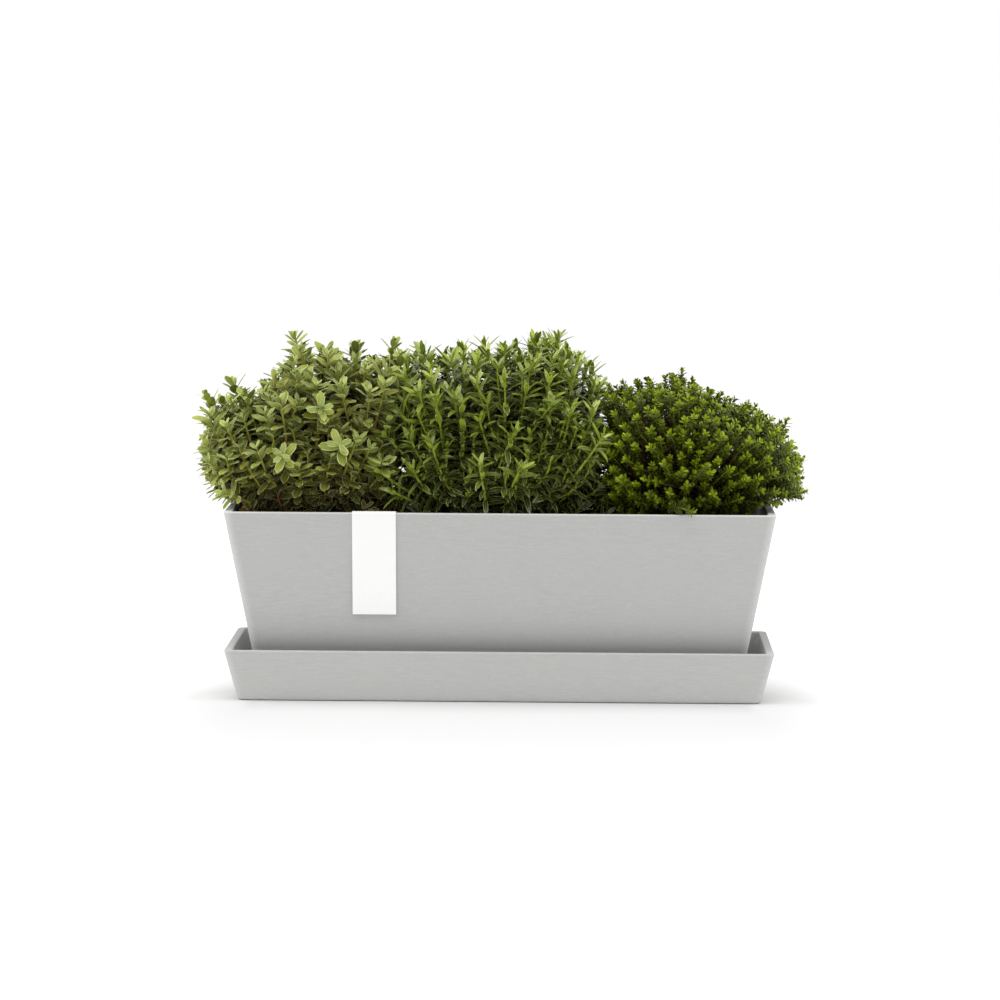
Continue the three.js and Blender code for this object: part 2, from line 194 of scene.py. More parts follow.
SHRUB_FIELDS = (
    (length, "leaf_length", "Leaf length", "Length of a full-grown leaf"),
    (length, "leaf_width", "Leaf width", "Width of a full-grown leaf"),
    (length, "pair_spacing", "Pair spacing", "Stem between two pairs of leaves"),
    (angle, "low_angle", "Low angle", "Rise of the lowest leaves from square to the stem"),
    (angle, "tip_angle", "Tip angle", "Rise of the leaves at the tip"),
    (share, "tip_size", "Tip size", "Size of the youngest leaves, as a share of full-grown"),
    (length, "stem", "Stem", "Thickness of a shoot where it leaves the plant's foot"),
    (colour, "old", "Old leaf", "Colour of the leaves inside the shrub"),
    (colour, "grown", "Grown leaf", "Colour of full-grown leaves"),
    (colour, "young", "Young leaf", "Colour of the leaves at the tips"),
    # The margin colour is partly the leaves' own pale edge and partly a painted highlight along edges and
    # tips.
    (colour, "margin", "Margin", "Colour of the leaf margins"),
    (colour, "bark", "Bark", "Colour of the woody stems"),
    (colour, "green_stem", "Green stem", "Colour of the young stems"),
)


def shrub_settings(class_name, note, **own):
    """A settings class for one shrub, with its own defaults."""
    fields = {field: kind(name, purpose, own[field]) for kind, field, name, purpose in SHRUB_FIELDS}
    return type(class_name, (bpy.types.PropertyGroup,), {"__doc__": note, "__annotations__": fields})


LeftShrubSettings = shrub_settings(
    "LeftShrubSettings",
    "The left shrub: oval grey-green leaves with cream margins.",
    leaf_length=12.8,
    leaf_width=5.4,
    pair_spacing=3.3,
    low_angle=16,
    tip_angle=50,
    tip_size=0.5,
    stem=2.5,
    old="463f08",
    grown="7e861a",
    young="93a04e",
    margin="d0d49c",
    bark="87541c",
    green_stem="92902a",
)
MiddleShrubSettings = shrub_settings(
    "MiddleShrubSettings",
    "The middle shrub: narrow, glossy, arching leaves on upright stems.",
    leaf_length=13.8,
    leaf_width=3.4,
    pair_spacing=3.5,
    low_angle=28,
    tip_angle=58,
    tip_size=0.6,
    stem=2.6,
    old="1e2605",
    grown="414d08",
    young="86980e",
    margin="b2bd78",
    bark="77701c",
    green_stem="8e9a22",
)
RightShrubSettings = shrub_settings(
    "RightShrubSettings",
    "The right shrub: a dense dome of fine shoots with tiny leaves.",
    leaf_length=4.6,
    leaf_width=2.2,
    pair_spacing=1.25,
    low_angle=30,
    tip_angle=48,
    tip_size=0.6,
    stem=1.6,
    old="182003",
    grown="3c4803",
    young="84960a",
    margin="626e12",
    bark="553a1a",
    green_stem="6c7c1e",
)


class PlanterSettings(bpy.types.PropertyGroup):
    """All settings of the planter."""

    tub: PointerProperty(type=TubSettings)
    label: PointerProperty(type=LabelSettings)
    soil: PointerProperty(type=SoilSettings)
    left: PointerProperty(type=LeftShrubSettings)
    middle: PointerProperty(type=MiddleShrubSettings)
    right: PointerProperty(type=RightShrubSettings)
    stage: PointerProperty(type=StageSettings)


# Shared tools


def add_node(tree, kind, inputs=None, stops=(), **settings):
    """Adds a node, sets its settings and colour stops, then sets or links its inputs by name or number."""
    node = tree.nodes.new(kind)
    for key, value in settings.items():
        setattr(node, key, value)
    for number, (position, tint) in enumerate(stops):
        elements = node.color_ramp.elements
        element = elements[number] if number < len(elements) else elements.new(position)
        element.position = position
        element.color = tint
    for key, value in (inputs or {}).items():
        if isinstance(value, bpy.types.NodeSocket):
            tree.links.new(value, node.inputs[key])
        else:
            node.inputs[key].default_value = value
    return node


def show(name, mesh):
    """A new object for a mesh, linked to the scene."""
    piece = bpy.data.objects.new(name, mesh)
    bpy.context.scene.collection.objects.link(piece)
    return piece


def finished(holder, name):
    """Turns what a holder's modifiers give into a plain mesh piece, and removes the holder."""
    graph = bpy.context.evaluated_depsgraph_get()
    mesh = bpy.data.meshes.new_from_object(
        holder.evaluated_get(graph), preserve_all_data_layers=True, depsgraph=graph
    )
    bpy.data.objects.remove(holder)
    if not mesh.polygons:
        raise RuntimeError(f"{name} came out empty")
    mesh.name = name
    return show(name, mesh)


def grown_by(holder, tree, values):
    """Puts a node tree on a holder with its inputs set by the sockets' identifiers."""
    modifier = holder.modifiers.new(tree.name, "NODES")
    modifier.node_group = tree
    known = {item.name: item.identifier for item in tree.interface.items_tree if item.in_out == "INPUT"}
    for name, value in values.items():
        modifier[known[name]] = value


def new_geometry_tree(name, inputs):
    """A geometry node tree with a geometry in and out, and these named inputs."""
    tree = bpy.data.node_groups.new(name, "GeometryNodeTree")
    tree.interface.new_socket("Geometry", in_out="INPUT", socket_type="NodeSocketGeometry")
    tree.interface.new_socket("Geometry", in_out="OUTPUT", socket_type="NodeSocketGeometry")
    for label, kind in inputs:
        tree.interface.new_socket(label, in_out="INPUT", socket_type="NodeSocket" + kind)
    return tree, add_node(tree, "NodeGroupInput").outputs, add_node(tree, "NodeGroupOutput").inputs


def new_material(name):
    """An empty node material with its output, its one shader and its object coordinates."""
    material = bpy.data.materials.new(name)
    material.use_nodes = True
    tree = material.node_tree
    tree.nodes.clear()
    shader = add_node(tree, "ShaderNodeBsdfPrincipled")
    add_node(tree, "ShaderNodeOutputMaterial", {"Surface": shader.outputs["BSDF"]})
    place = add_node(tree, "ShaderNodeTexCoord").outputs["Object"]
    return material, tree, shader, place


def cells(x, y, z):
    """A pattern's scale for cells of x by y by z millimetres."""
    return tuple(1 / (size * MM) for size in (x, y, z))


def shaded(tint, factor):
    """A colour made darker or lighter by a factor."""
    return tuple(channel * factor for channel in tuple(tint)[:3]) + (1.0,)


# Materials

STONE_RESIN = "moulded_stone_resin"
MOIST_COMPOST = "moist_compost"


def stone_resin(tub):
    """Stone-filled resin, moulded and brushed: matte, with fine level streaks and pale flecks."""
    material, tree, shader, place = new_material(STONE_RESIN)
    # Brushed streaks about 9 mm long and 0.4 mm high, drawn a little coarser than the real ones to show.
    drawn = add_node(tree, "ShaderNodeMapping", {"Vector": place, "Scale": cells(9, 9, 0.4)}).outputs[0]
    streak = add_node(
        tree, "ShaderNodeTexNoise", {"Vector": drawn, "Scale": 1.0, "Detail": 3.0, "Roughness": 0.6}
    ).outputs[0]
    streaks = add_node(
        tree,
        "ShaderNodeValToRGB",
        {"Fac": streak},
        stops=((0.36, tuple(tub.streak)), (0.52, tuple(tub.stone)), (0.7, tuple(tub.fleck))),
    ).outputs[0]
    # Broad clouds in the filler, about 70 mm wide, in which the streaks come and go.
    broad = add_node(tree, "ShaderNodeMapping", {"Vector": place, "Scale": cells(70, 70, 22)}).outputs[0]
    cloud = add_node(tree, "ShaderNodeTexNoise", {"Vector": broad, "Scale": 1.0, "Detail": 2.0}).outputs[0]
    strength = add_node(
        tree,
        "ShaderNodeMapRange",
        {"Value": cloud, "From Min": 0.3, "From Max": 0.7, "To Min": 0.35, "To Max": 0.95},
    ).outputs[0]
    body = add_node(
        tree, "ShaderNodeMix", {0: strength, 6: tuple(tub.stone), 7: streaks}, data_type="RGBA"
    ).outputs[2]
    # Mineral flecks, about 1.8 mm by 0.5 mm, a few in a hundred.
    grit = add_node(tree, "ShaderNodeMapping", {"Vector": place, "Scale": cells(1.8, 1.8, 0.5)}).outputs[0]
    fleck = add_node(tree, "ShaderNodeTexNoise", {"Vector": grit, "Scale": 1.0, "Detail": 1.0}).outputs[0]
    flecked = add_node(
        tree, "ShaderNodeMapRange", {"Value": fleck, "From Min": 0.64, "From Max": 0.74, "To Max": 0.7}
    ).outputs[0]
    tint = add_node(
        tree, "ShaderNodeMix", {0: flecked, 6: body, 7: shaded(tub.fleck, 1.12)}, data_type="RGBA"
    ).outputs[2]
    # The top of the pot's rim is painted paler: a painted highlight for the light that falls on it.
    height = add_node(tree, "ShaderNodeSeparateXYZ", {"Vector": place}).outputs["Z"]
    unhighlit_z = RIM_Z - tub.highlight_depth
    highlit = add_node(
        tree, "ShaderNodeMapRange", {"Value": height, "From Min": unhighlit_z, "From Max": RIM_Z}
    ).outputs[0]
    highlighted = add_node(
        tree, "ShaderNodeMix", {0: highlit, 6: tint, 7: tuple(tub.highlit)}, data_type="RGBA"
    ).outputs[2]
    tree.links.new(highlighted, shader.inputs["Base Color"])
    rough = add_node(
        tree,
        "ShaderNodeMapRange",
        {"Value": streak, "From Min": 0.3, "From Max": 0.7, "To Min": 0.6, "To Max": 0.74},
    ).outputs[0]
    tree.links.new(rough, shader.inputs["Roughness"])
    shader.inputs["IOR"].default_value = 1.5
    shader.inputs["Specular IOR Level"].default_value = 0.3
    bump = add_node(
        tree, "ShaderNodeBump", {"Height": streak, "Strength": 0.1, "Distance": 0.2 * MM}
    ).outputs[0]
    tree.links.new(bump, shader.inputs["Normal"])
    return material


def uncoated_card(label):
    """Uncoated white card, cut and creased: matte, with a faint fibre tooth."""
    material, tree, shader, place = new_material("uncoated_card")
    tooth = add_node(tree, "ShaderNodeMapping", {"Vector": place, "Scale": cells(0.8, 0.8, 1.6)}).outputs[0]
    fibre = add_node(tree, "ShaderNodeTexNoise", {"Vector": tooth, "Scale": 1.0, "Detail": 3.0}).outputs[0]
    tint = add_node(
        tree,
        "ShaderNodeValToRGB",
        {"Fac": fibre},
        stops=((0.3, shaded(label.card, 0.965)), (0.7, tuple(label.card))),
    ).outputs[0]
    tree.links.new(tint, shader.inputs["Base Color"])
    shader.inputs["Roughness"].default_value = 0.82
    shader.inputs["Specular IOR Level"].default_value = 0.25
    bump = add_node(
        tree, "ShaderNodeBump", {"Height": fibre, "Strength": 0.15, "Distance": 0.05 * MM}
    ).outputs[0]
    tree.links.new(bump, shader.inputs["Normal"])
    return material


def moist_compost(soil):
    """Moist peat and bark compost: near-black crumbs with browner bark and fine grit."""
    material, tree, shader, place = new_material(MOIST_COMPOST)
    lumps = add_node(tree, "ShaderNodeMapping", {"Vector": place, "Scale": cells(3.5, 3.5, 3.5)}).outputs[0]
    crumb = add_node(
        tree, "ShaderNodeTexNoise", {"Vector": lumps, "Scale": 1.0, "Detail": 6.0, "Roughness": 0.65}
    ).outputs[0]
    tint = add_node(
        tree,
        "ShaderNodeValToRGB",
        {"Fac": crumb},
        stops=((0.32, shaded(soil.soil, 0.45)), (0.5, tuple(soil.soil)), (0.72, tuple(soil.bark))),
    ).outputs[0]
    tree.links.new(tint, shader.inputs["Base Color"])
    shader.inputs["Roughness"].default_value = 0.95
    shader.inputs["Specular IOR Level"].default_value = 0.2
    bump = add_node(
        tree, "ShaderNodeBump", {"Height": crumb, "Strength": 0.9, "Distance": 1.0 * MM}
    ).outputs[0]
    tree.links.new(bump, shader.inputs["Normal"])
    return material


def fibrous_root(soil):
    """Living roots: pale tan, duller where compost clings to them."""
    material, tree, shader, place = new_material("fibrous_root")
    patches = add_node(tree, "ShaderNodeMapping", {"Vector": place, "Scale": cells(6, 6, 6)}).outputs[0]
    cling = add_node(tree, "ShaderNodeTexNoise", {"Vector": patches, "Scale": 1.0, "Detail": 3.0}).outputs[0]
    tint = add_node(
        tree,
        "ShaderNodeValToRGB",
        {"Fac": cling},
        stops=((0.4, tuple(soil.bark)), (0.6, tuple(soil.root_tint))),
    ).outputs[0]
    tree.links.new(tint, shader.inputs["Base Color"])
    shader.inputs["Roughness"].default_value = 0.8
    return material


# Values that leaves and stems carry, by which their materials colour them. The age also carries
# the shoot's painted shade.
LEAF_AGE_AND_SHADE = "leaf_age"
LEAF_TONE = "leaf_tone"
LEAF_MAP = "leaf_map"


def shrub_leaf(name, shrub, finish):
    """A living leaf: coloured by its age, with its own tone, a pale margin and rib, and a waxy skin."""
    material, tree, shader, place = new_material(name)
    margin_and_highlight_width, roughness = finish["margin"], finish["roughness"]
    age_and_shade = add_node(tree, "ShaderNodeAttribute", attribute_name=LEAF_AGE_AND_SHADE).outputs["Fac"]
    tone = add_node(tree, "ShaderNodeAttribute", attribute_name=LEAF_TONE).outputs["Fac"]
    # The age carries painted shade as well: shoots low and deep in the crown take the old colour.
    by_age_and_shade = add_node(
        tree,
        "ShaderNodeValToRGB",
        {"Fac": age_and_shade},
        stops=((0.3, tuple(shrub.old)), (0.78, tuple(shrub.grown)), (0.97, tuple(shrub.young))),
    ).outputs[0]
    # Each leaf's own tone, and blotches about 4 mm wide within it.
    spots = add_node(tree, "ShaderNodeMapping", {"Vector": place, "Scale": cells(4, 4, 4)}).outputs[0]
    blotch = add_node(tree, "ShaderNodeTexNoise", {"Vector": spots, "Scale": 1.0, "Detail": 3.0}).outputs[0]
    own = add_node(tree, "ShaderNodeMapRange", {"Value": tone, "To Min": 0.74, "To Max": 1.26}).outputs[0]
    dapple = add_node(
        tree,
        "ShaderNodeMapRange",
        {"Value": blotch, "From Min": 0.3, "From Max": 0.7, "To Min": 0.88, "To Max": 1.12},
    ).outputs[0]
    value = add_node(tree, "ShaderNodeMath", {0: own, 1: dapple}, operation="MULTIPLY").outputs[0]
    hue = add_node(tree, "ShaderNodeMapRange", {"Value": tone, "To Min": 0.51, "To Max": 0.488}).outputs[0]
    blade = add_node(
        tree, "ShaderNodeHueSaturation", {"Color": by_age_and_shade, "Value": value, "Hue": hue}
    ).outputs[0]
    # The leaf's own map: x runs across the blade from margin to margin, y from base to tip.
    leaf_map = add_node(tree, "ShaderNodeUVMap", uv_map=LEAF_MAP).outputs[0]
    across, along = add_node(tree, "ShaderNodeSeparateXYZ", {"Vector": leaf_map}).outputs[:2]
    signed = add_node(
        tree, "ShaderNodeMapRange", {"Value": across, "To Min": -1.0, "To Max": 1.0}
    ).outputs[0]
    off_rib = add_node(tree, "ShaderNodeMath", {0: signed}, operation="ABSOLUTE").outputs[0]
    # The pale margin and tip are partly the leaf's own colour and partly a painted highlight.
    edge = add_node(
        tree,
        "ShaderNodeMapRange",
        {"Value": off_rib, "From Min": 1.0 - margin_and_highlight_width, "From Max": 1.0 - 0.4 * margin_and_highlight_width},
        interpolation_type="SMOOTHSTEP",
    ).outputs[0]
    point = add_node(
        tree, "ShaderNodeMapRange", {"Value": along, "From Min": 0.93, "From Max": 0.99}
    ).outputs[0]
    rim = add_node(tree, "ShaderNodeMath", {0: edge, 1: point}, operation="MAXIMUM").outputs[0]
    edged = add_node(
        tree, "ShaderNodeMix", {0: rim, 6: blade, 7: tuple(shrub.margin)}, data_type="RGBA"
    ).outputs[2]
    vein = add_node(
        tree,
        "ShaderNodeMapRange",
        {"Value": off_rib, "From Min": 0.05, "From Max": 0.14, "To Min": finish["rib"], "To Max": 0.0},
    ).outputs[0]
    veined = add_node(
        tree, "ShaderNodeMix", {0: vein, 6: edged, 7: tuple(shrub.margin)}, data_type="RGBA"
    ).outputs[2]
    # A few of the oldest leaves have withered to brown.
    dry = add_node(
        tree, "ShaderNodeMapRange", {"Value": tone, "From Min": 0.95, "From Max": 0.97}
    ).outputs[0]
    low = add_node(
        tree, "ShaderNodeMapRange", {"Value": age_and_shade, "From Min": 0.4, "From Max": 0.3, "To Max": 0.9}
    ).outputs[0]
    withered = add_node(tree, "ShaderNodeMath", {0: dry, 1: low}, operation="MULTIPLY").outputs[0]
    tint = add_node(
        tree, "ShaderNodeMix", {0: withered, 6: veined, 7: tuple(shrub.bark)}, data_type="RGBA"
    ).outputs[2]
    tree.links.new(tint, shader.inputs["Base Color"])
    dull = add_node(
        tree,
        "ShaderNodeMapRange",
        {"Value": blotch, "From Min": 0.3, "From Max": 0.7, "To Min": roughness, "To Max": roughness + 0.14},
    ).outputs[0]
    tree.links.new(dull, shader.inputs["Roughness"])
    shader.inputs["IOR"].default_value = 1.45
    shader.inputs["Specular IOR Level"].default_value = finish["gloss"]
    shader.inputs["Sheen Weight"].default_value = finish["bloom"]
    shader.inputs["Sheen Roughness"].default_value = 0.4
    # The blade is quilted a little between its veins, in cells of about 1.2 mm.
    veins = add_node(tree, "ShaderNodeMapping", {"Vector": place, "Scale": cells(1.2, 1.2, 1.2)}).outputs[0]
    quilt = add_node(tree, "ShaderNodeTexNoise", {"Vector": veins, "Scale": 1.0, "Detail": 2.0}).outputs[0]
    bump = add_node(
        tree, "ShaderNodeBump", {"Height": quilt, "Strength": 0.25, "Distance": 0.2 * MM}
    ).outputs[0]
    tree.links.new(bump, shader.inputs["Normal"])
    return material


def shrub_stem(name, shrub):
    """A shoot's skin: ridged brown bark at the foot, smooth and green near the tip."""
    material, tree, shader, place = new_material(name)
    age_and_shade = add_node(tree, "ShaderNodeAttribute", attribute_name=LEAF_AGE_AND_SHADE).outputs["Fac"]
    grain = add_node(tree, "ShaderNodeMapping", {"Vector": place, "Scale": cells(0.9, 0.9, 5)}).outputs[0]
    ridge = add_node(tree, "ShaderNodeTexNoise", {"Vector": grain, "Scale": 1.0, "Detail": 4.0}).outputs[0]
    mottle = add_node(
        tree,
        "ShaderNodeMapRange",
        {"Value": ridge, "From Min": 0.3, "From Max": 0.7, "To Min": -0.16, "To Max": 0.16},
    ).outputs[0]
    ripe = add_node(tree, "ShaderNodeMath", {0: age_and_shade, 1: mottle}, operation="ADD").outputs[0]
    tint = add_node(
        tree,
        "ShaderNodeValToRGB",
        {"Fac": ripe},
        stops=((0.05, shaded(shrub.bark, 0.45)), (0.35, tuple(shrub.bark)), (0.7, tuple(shrub.green_stem))),
    ).outputs[0]
    tree.links.new(tint, shader.inputs["Base Color"])
    shader.inputs["Roughness"].default_value = 0.6
    bump = add_node(
        tree, "ShaderNodeBump", {"Height": ridge, "Strength": 0.5, "Distance": 0.2 * MM}
    ).outputs[0]
    tree.links.new(bump, shader.inputs["Normal"])
    return material


# Tubs: rounded rectangles carried along a wall profile

CORNER_STEPS = 10
EDGE_STEPS = 5
HOLE_SIDES = 40
LOOP_GAP = 1.2 * MM
LEAST_INNER_CORNER = 1.5 * MM
QUADRANTS = ((1, 1), (-1, 1), (-1, -1), (1, -1))
# Edges that turn further than this are creases.
CREASE = math.radians(40)


def rounded_ring(length_, width, radius, z):
    """A level rounded rectangle, with a loop point close beside each corner so that flats shade flat."""
    ring = []
    for quarter, (side_x, side_y) in enumerate(QUADRANTS):
        centre = Vector((side_x * (length_ / 2 - radius), side_y * (width / 2 - radius), z))
        corner = []
        for step in range(CORNER_STEPS + 1):
            turn = (quarter + step / CORNER_STEPS) * math.pi / 2
            corner.append(centre + radius * Vector((math.cos(turn), math.sin(turn), 0)))
        start, end = quarter * math.pi / 2, (quarter + 1) * math.pi / 2
        before = corner[0] - LOOP_GAP * Vector((-math.sin(start), math.cos(start), 0))
        after = corner[-1] + LOOP_GAP * Vector((-math.sin(end), math.cos(end), 0))
        ring += [before, *corner, after]
    return ring


def arc(start, control, end):
    """Points of a rounded edge between two profile points."""
    start, control, end = Vector(start), Vector(control), Vector(end)
    points = []
    for step in range(EDGE_STEPS + 1):
        t = step / EDGE_STEPS
        points.append((1 - t) ** 2 * start + 2 * t * (1 - t) * control + t * t * end)
    return points


def loft(rings):
    """A closed mesh through level rings of equal counts, with flat ends."""
    made = bmesh.new()
    rows = [[made.verts.new(point) for point in ring] for ring in rings]
    for low, high in zip(rows, rows[1:]):
        for i in range(len(low)):
            j = (i + 1) % len(low)
            made.faces.new((low[i], low[j], high[j], high[i]))
    made.faces.new(reversed(rows[0]))
    made.faces.new(rows[-1])
    return made


def as_mesh(made, name):
    """Writes a bmesh to a mesh with smooth faces and sharp creases."""
    mesh = bpy.data.meshes.new(name)
    made.to_mesh(mesh)
    made.free()
    for face in mesh.polygons:
        face.use_smooth = True
    mesh.set_sharp_from_angle(angle=CREASE)
    return mesh


def tub(tub_settings, length_, width, height, draft, wall, floor, corner, base_z):
    """An open tub with leaning walls, rounded rims and a closed floor."""
    rim, base, inner = tub_settings.rim_edge, tub_settings.base_edge, tub_settings.inner_edge

    def lean(z):
        return draft * (height - z)

    outside = [(lean(0) + base + LOOP_GAP, 0)]
    outside += arc((lean(0) + base, 0), (lean(0), 0), (lean(base), base))
    outside += [(lean(base + LOOP_GAP), base + LOOP_GAP)]
    outside += [(lean(height - rim - LOOP_GAP), height - rim - LOOP_GAP)]
    outside += arc((lean(height - rim), height - rim), (0, height), (rim, height))
    inside = arc((wall - rim, height), (wall, height), (wall + lean(height - rim), height - rim))
    inside += [(wall + lean(height - rim - LOOP_GAP), height - rim - LOOP_GAP)]
    bottom = floor + inner
    inside += [(wall + lean(bottom + LOOP_GAP), bottom + LOOP_GAP)]
    foot = wall + lean(floor)
    inside += arc((wall + lean(bottom), bottom), (foot, floor), (foot + inner, floor))
    inside += [(foot + inner + LOOP_GAP, floor)]
    inner_corner = max(corner - wall, LEAST_INNER_CORNER)
    rings = []
    for radius, profile in ((corner, outside), (inner_corner, inside)):
        for inset, z in profile:
            rings.append(rounded_ring(length_ - 2 * inset, width - 2 * inset, radius, base_z + z))
    return loft(rings)


def cut_from(mesh, name, cutters):
    """Cuts closed meshes out of a mesh and returns the finished piece."""
    holder = show(name + "_blank", mesh)
    tools = []
    for number, cutter in enumerate(cutters):
        tool = show(f"{name}_cutter_{number}", as_mesh(cutter, "cutter"))
        modifier = holder.modifiers.new("cut", "BOOLEAN")
        modifier.operation = "DIFFERENCE"
        modifier.solver = "MANIFOLD"
        modifier.object = tool
        tools.append(tool)
    piece = finished(holder, name)
    for tool in tools:
        bpy.data.objects.remove(tool)
    piece.data.set_sharp_from_angle(angle=CREASE)
    return piece


def upright_cylinder(x, radius, low, high):
    """A closed upright cylinder at x on the middle line."""
    turns = [math.tau * i / HOLE_SIDES for i in range(HOLE_SIDES)]
    rings = []
    for z in (low, high):
        rings.append([Vector((x + radius * math.cos(t), radius * math.sin(t), z)) for t in turns])
    return loft(rings)


def block(x, half_x, half_y, low, high):
    """A closed box centred on x and the middle line."""
    return loft([[Vector((x + i * half_x, j * half_y, z)) for i, j in QUADRANTS] for z in (low, high)])


class PLANTER_OT_saucer(bpy.types.Operator):
    """Makes the saucer, a low tub with leaning walls"""

    bl_idname = "planter.saucer"
    bl_label = "Saucer"

    def execute(self, context):
        settings = context.scene.planter.tub
        low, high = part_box("saucer")
        height = high.z - low.z
        lean = settings.saucer_draft * (height - settings.saucer_floor)
        pot_lean = settings.pot_draft * (RIM_Z - POT_BASE_Z)
        spread = settings.saucer_clearance + settings.saucer_wall + lean - pot_lean
        made = tub(
            settings,
            settings.pot_length + 2 * spread,
            settings.pot_width + 2 * spread,
            height,
            settings.saucer_draft,
            settings.saucer_wall,
            settings.saucer_floor,
            settings.saucer_corner,
            low.z,
        )
        piece = show("saucer_shell", as_mesh(made, "saucer_shell"))
        piece.data.materials.append(bpy.data.materials.get(STONE_RESIN) or stone_resin(settings))
        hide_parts("saucer")
        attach(piece, "saucer")
        return {"FINISHED"}


class PLANTER_OT_pot(bpy.types.Operator):
    """Makes the pot, with its foot rim, water notches and drain holes"""

    bl_idname = "planter.pot"
    bl_label = "Pot"

    def execute(self, context):
        settings = context.scene.planter.tub
        height = RIM_Z - POT_BASE_Z
        foot = SOIL_BOTTOM_Z - CLEARANCE - POT_BASE_Z - settings.pot_floor
        made = tub(
            settings,
            settings.pot_length,
            settings.pot_width,
            height,
            settings.pot_draft,
            settings.pot_wall,
            settings.pot_floor + foot,
            settings.pot_corner,
            POT_BASE_Z,
        )
        inset = settings.pot_draft * height + settings.foot_width
        low, high = POT_BASE_Z - foot, POT_BASE_Z + foot
        recess = (settings.pot_length - 2 * inset, settings.pot_width - 2 * inset, settings.pot_corner)
        cutters = [loft([rounded_ring(*recess, z) for z in (low, high)])]
        for x in (ROOT_X["left"] / 2, ROOT_X["right"] / 2):
            cutters.append(block(x, settings.notch_width / 2, settings.pot_width, low, high))
        for side in SIDES:
            top = SOIL_BOTTOM_Z + settings.pot_floor
            cutters.append(upright_cylinder(ROOT_X[side], settings.hole_diameter / 2, low, top))
        piece = cut_from(as_mesh(made, "pot_shell"), "pot_shell", cutters)
        piece.data.materials.clear()
        piece.data.materials.append(bpy.data.materials.get(STONE_RESIN) or stone_resin(settings))
        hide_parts("pot")
        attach(piece, "pot")
        return {"FINISHED"}


# The label

LABEL_STEPS = 14
LABEL_COLUMNS = 8
FOLD_STEPS = 6
FLAP_STEPS = 4
# The flap ends this far above the soil.
FLAP_GAP = 3 * MM
# The free end springs off the wall by this power of the way down from the fold.
SPRING_CURVE = 2.2


def folded_strip(settings, tub_settings):
    """The card's middle line seen from the end, as points of y and z, from its lower end to its flap."""
    low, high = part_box("label_card")
    gap = high.z - RIM_Z - settings.thickness
    draft = tub_settings.pot_draft
    front = -tub_settings.pot_width / 2

    def wall(z, off):
        return front + draft * (RIM_Z - z) - off

    off = gap + settings.thickness / 2
    top = RIM_Z + off
    back = tub_settings.pot_wall
    fold = settings.fold
    points = []
    for step in range(LABEL_STEPS + 1):
        t = step / LABEL_STEPS
        z = low.z + (top - fold - low.z) * t
        spring = settings.lift * (1 - t) ** SPRING_CURVE
        points.append((wall(z, off + spring), z))
    front_y, back_y = wall(top, off), front + back + off
    turns = [step / FOLD_STEPS * math.pi / 2 for step in range(FOLD_STEPS + 1)]
    for turn in turns[1:]:
        points.append((front_y + fold * (1 - math.cos(turn)), top - fold * (1 - math.sin(turn))))
    for turn in turns:
        points.append((back_y - fold * (1 - math.sin(turn)), top - fold * (1 - math.cos(turn))))
    flap = SOIL_Z + FLAP_GAP
    for step in range(1, FLAP_STEPS + 1):
        z = top - fold + (flap - top + fold) * step / FLAP_STEPS
        points.append((front + draft * (RIM_Z - z) + back + off, z))
    return points


class PLANTER_OT_label(bpy.types.Operator):
    """Makes the blank card label, folded over the front rim"""

    bl_idname = "planter.label"
    bl_label = "Label"

    def execute(self, context):
        settings = context.scene.planter.label
        low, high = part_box("label_card")
        path = folded_strip(settings, context.scene.planter.tub)
        xs = [low.x + (high.x - low.x) * i / LABEL_COLUMNS for i in range(LABEL_COLUMNS + 1)]
        made = bmesh.new()
        rows = [[made.verts.new((x, y, z)) for x in xs] for y, z in path]
        for lower, upper in zip(rows, rows[1:]):
            for i in range(LABEL_COLUMNS):
                made.faces.new((lower[i], lower[i + 1], upper[i + 1], upper[i]))
        bmesh.ops.recalc_face_normals(made, faces=made.faces)
        holder = show("label_blank", as_mesh(made, "label_blank"))
        solid = holder.modifiers.new("card", "SOLIDIFY")
        solid.thickness = settings.thickness
        solid.offset = 0.0
        piece = finished(holder, "label_strip")
        piece.data.set_sharp_from_angle(angle=CREASE)
        piece.data.materials.append(uncoated_card(settings))
        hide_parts("label_card")
        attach(piece, "label")
        return {"FINISHED"}


# Soil and root balls

# The soil's skin: the size of its faces, the width of its lumps, and their noise's roughness, step between
# octaves and number of octaves.
VOXEL = 2.4 * MM
LUMP = 9 * MM
LUMP_NOISE = (1.0, 2.0, 4)
# Crumbs: bare margin, ground cells, how far they sink, the share of the ground that they may cover, how
# far a crumb's corners are pulled about, and the range of their sizes along three axes.
CRUMB_MARGIN = 3.0 * MM
CARPET_CELL = 4.0 * MM
CELL_CORNERS = ((0, 0), (1, 0), (1, 1), (0, 1))
CRUMB_SINK = 0.4 * MM
CRUMB_COVER = 0.6
CRUMB_CORNERS = (0.7, 1.2)
CRUMB_LEAST = (0.35, 0.3, 0.25)
CRUMB_MOST = (1.1, 0.8, 0.6)
# Root balls: corners, how far the core lies under the roots, and how rough its top and sides are.
ROOT_BALL_CORNER = 14 * MM
ROOT_SINK = 1.1 * MM
CORE_TOP_SHARE = 0.3
CORE_ROUGHNESS = 0.5 * MM
# Roots: where they start and end as shares of the height, their drift and wander round the ball in turns,
# how many steps they take, the fewest that are kept, how far they drop at each, their sides, their taper,
# and their margin at the ball's ends.
ROOT_START = (0.45, 0.97)
ROOT_END = 0.02
ROOT_DRIFT = 0.012
ROOT_WANDER = 0.008
ROOT_STEPS = (10, 26)
LEAST_ROOT_STEPS = 4
ROOT_DROP = (0.01, 0.05)
ROOT_SIDES = 5
ROOT_TAPER = 0.7
ROOT_MARGIN = 3 * MM
# Half the thickness of a root or shoot, as its points carry it.
STEM_RADIUS = "stem_radius"
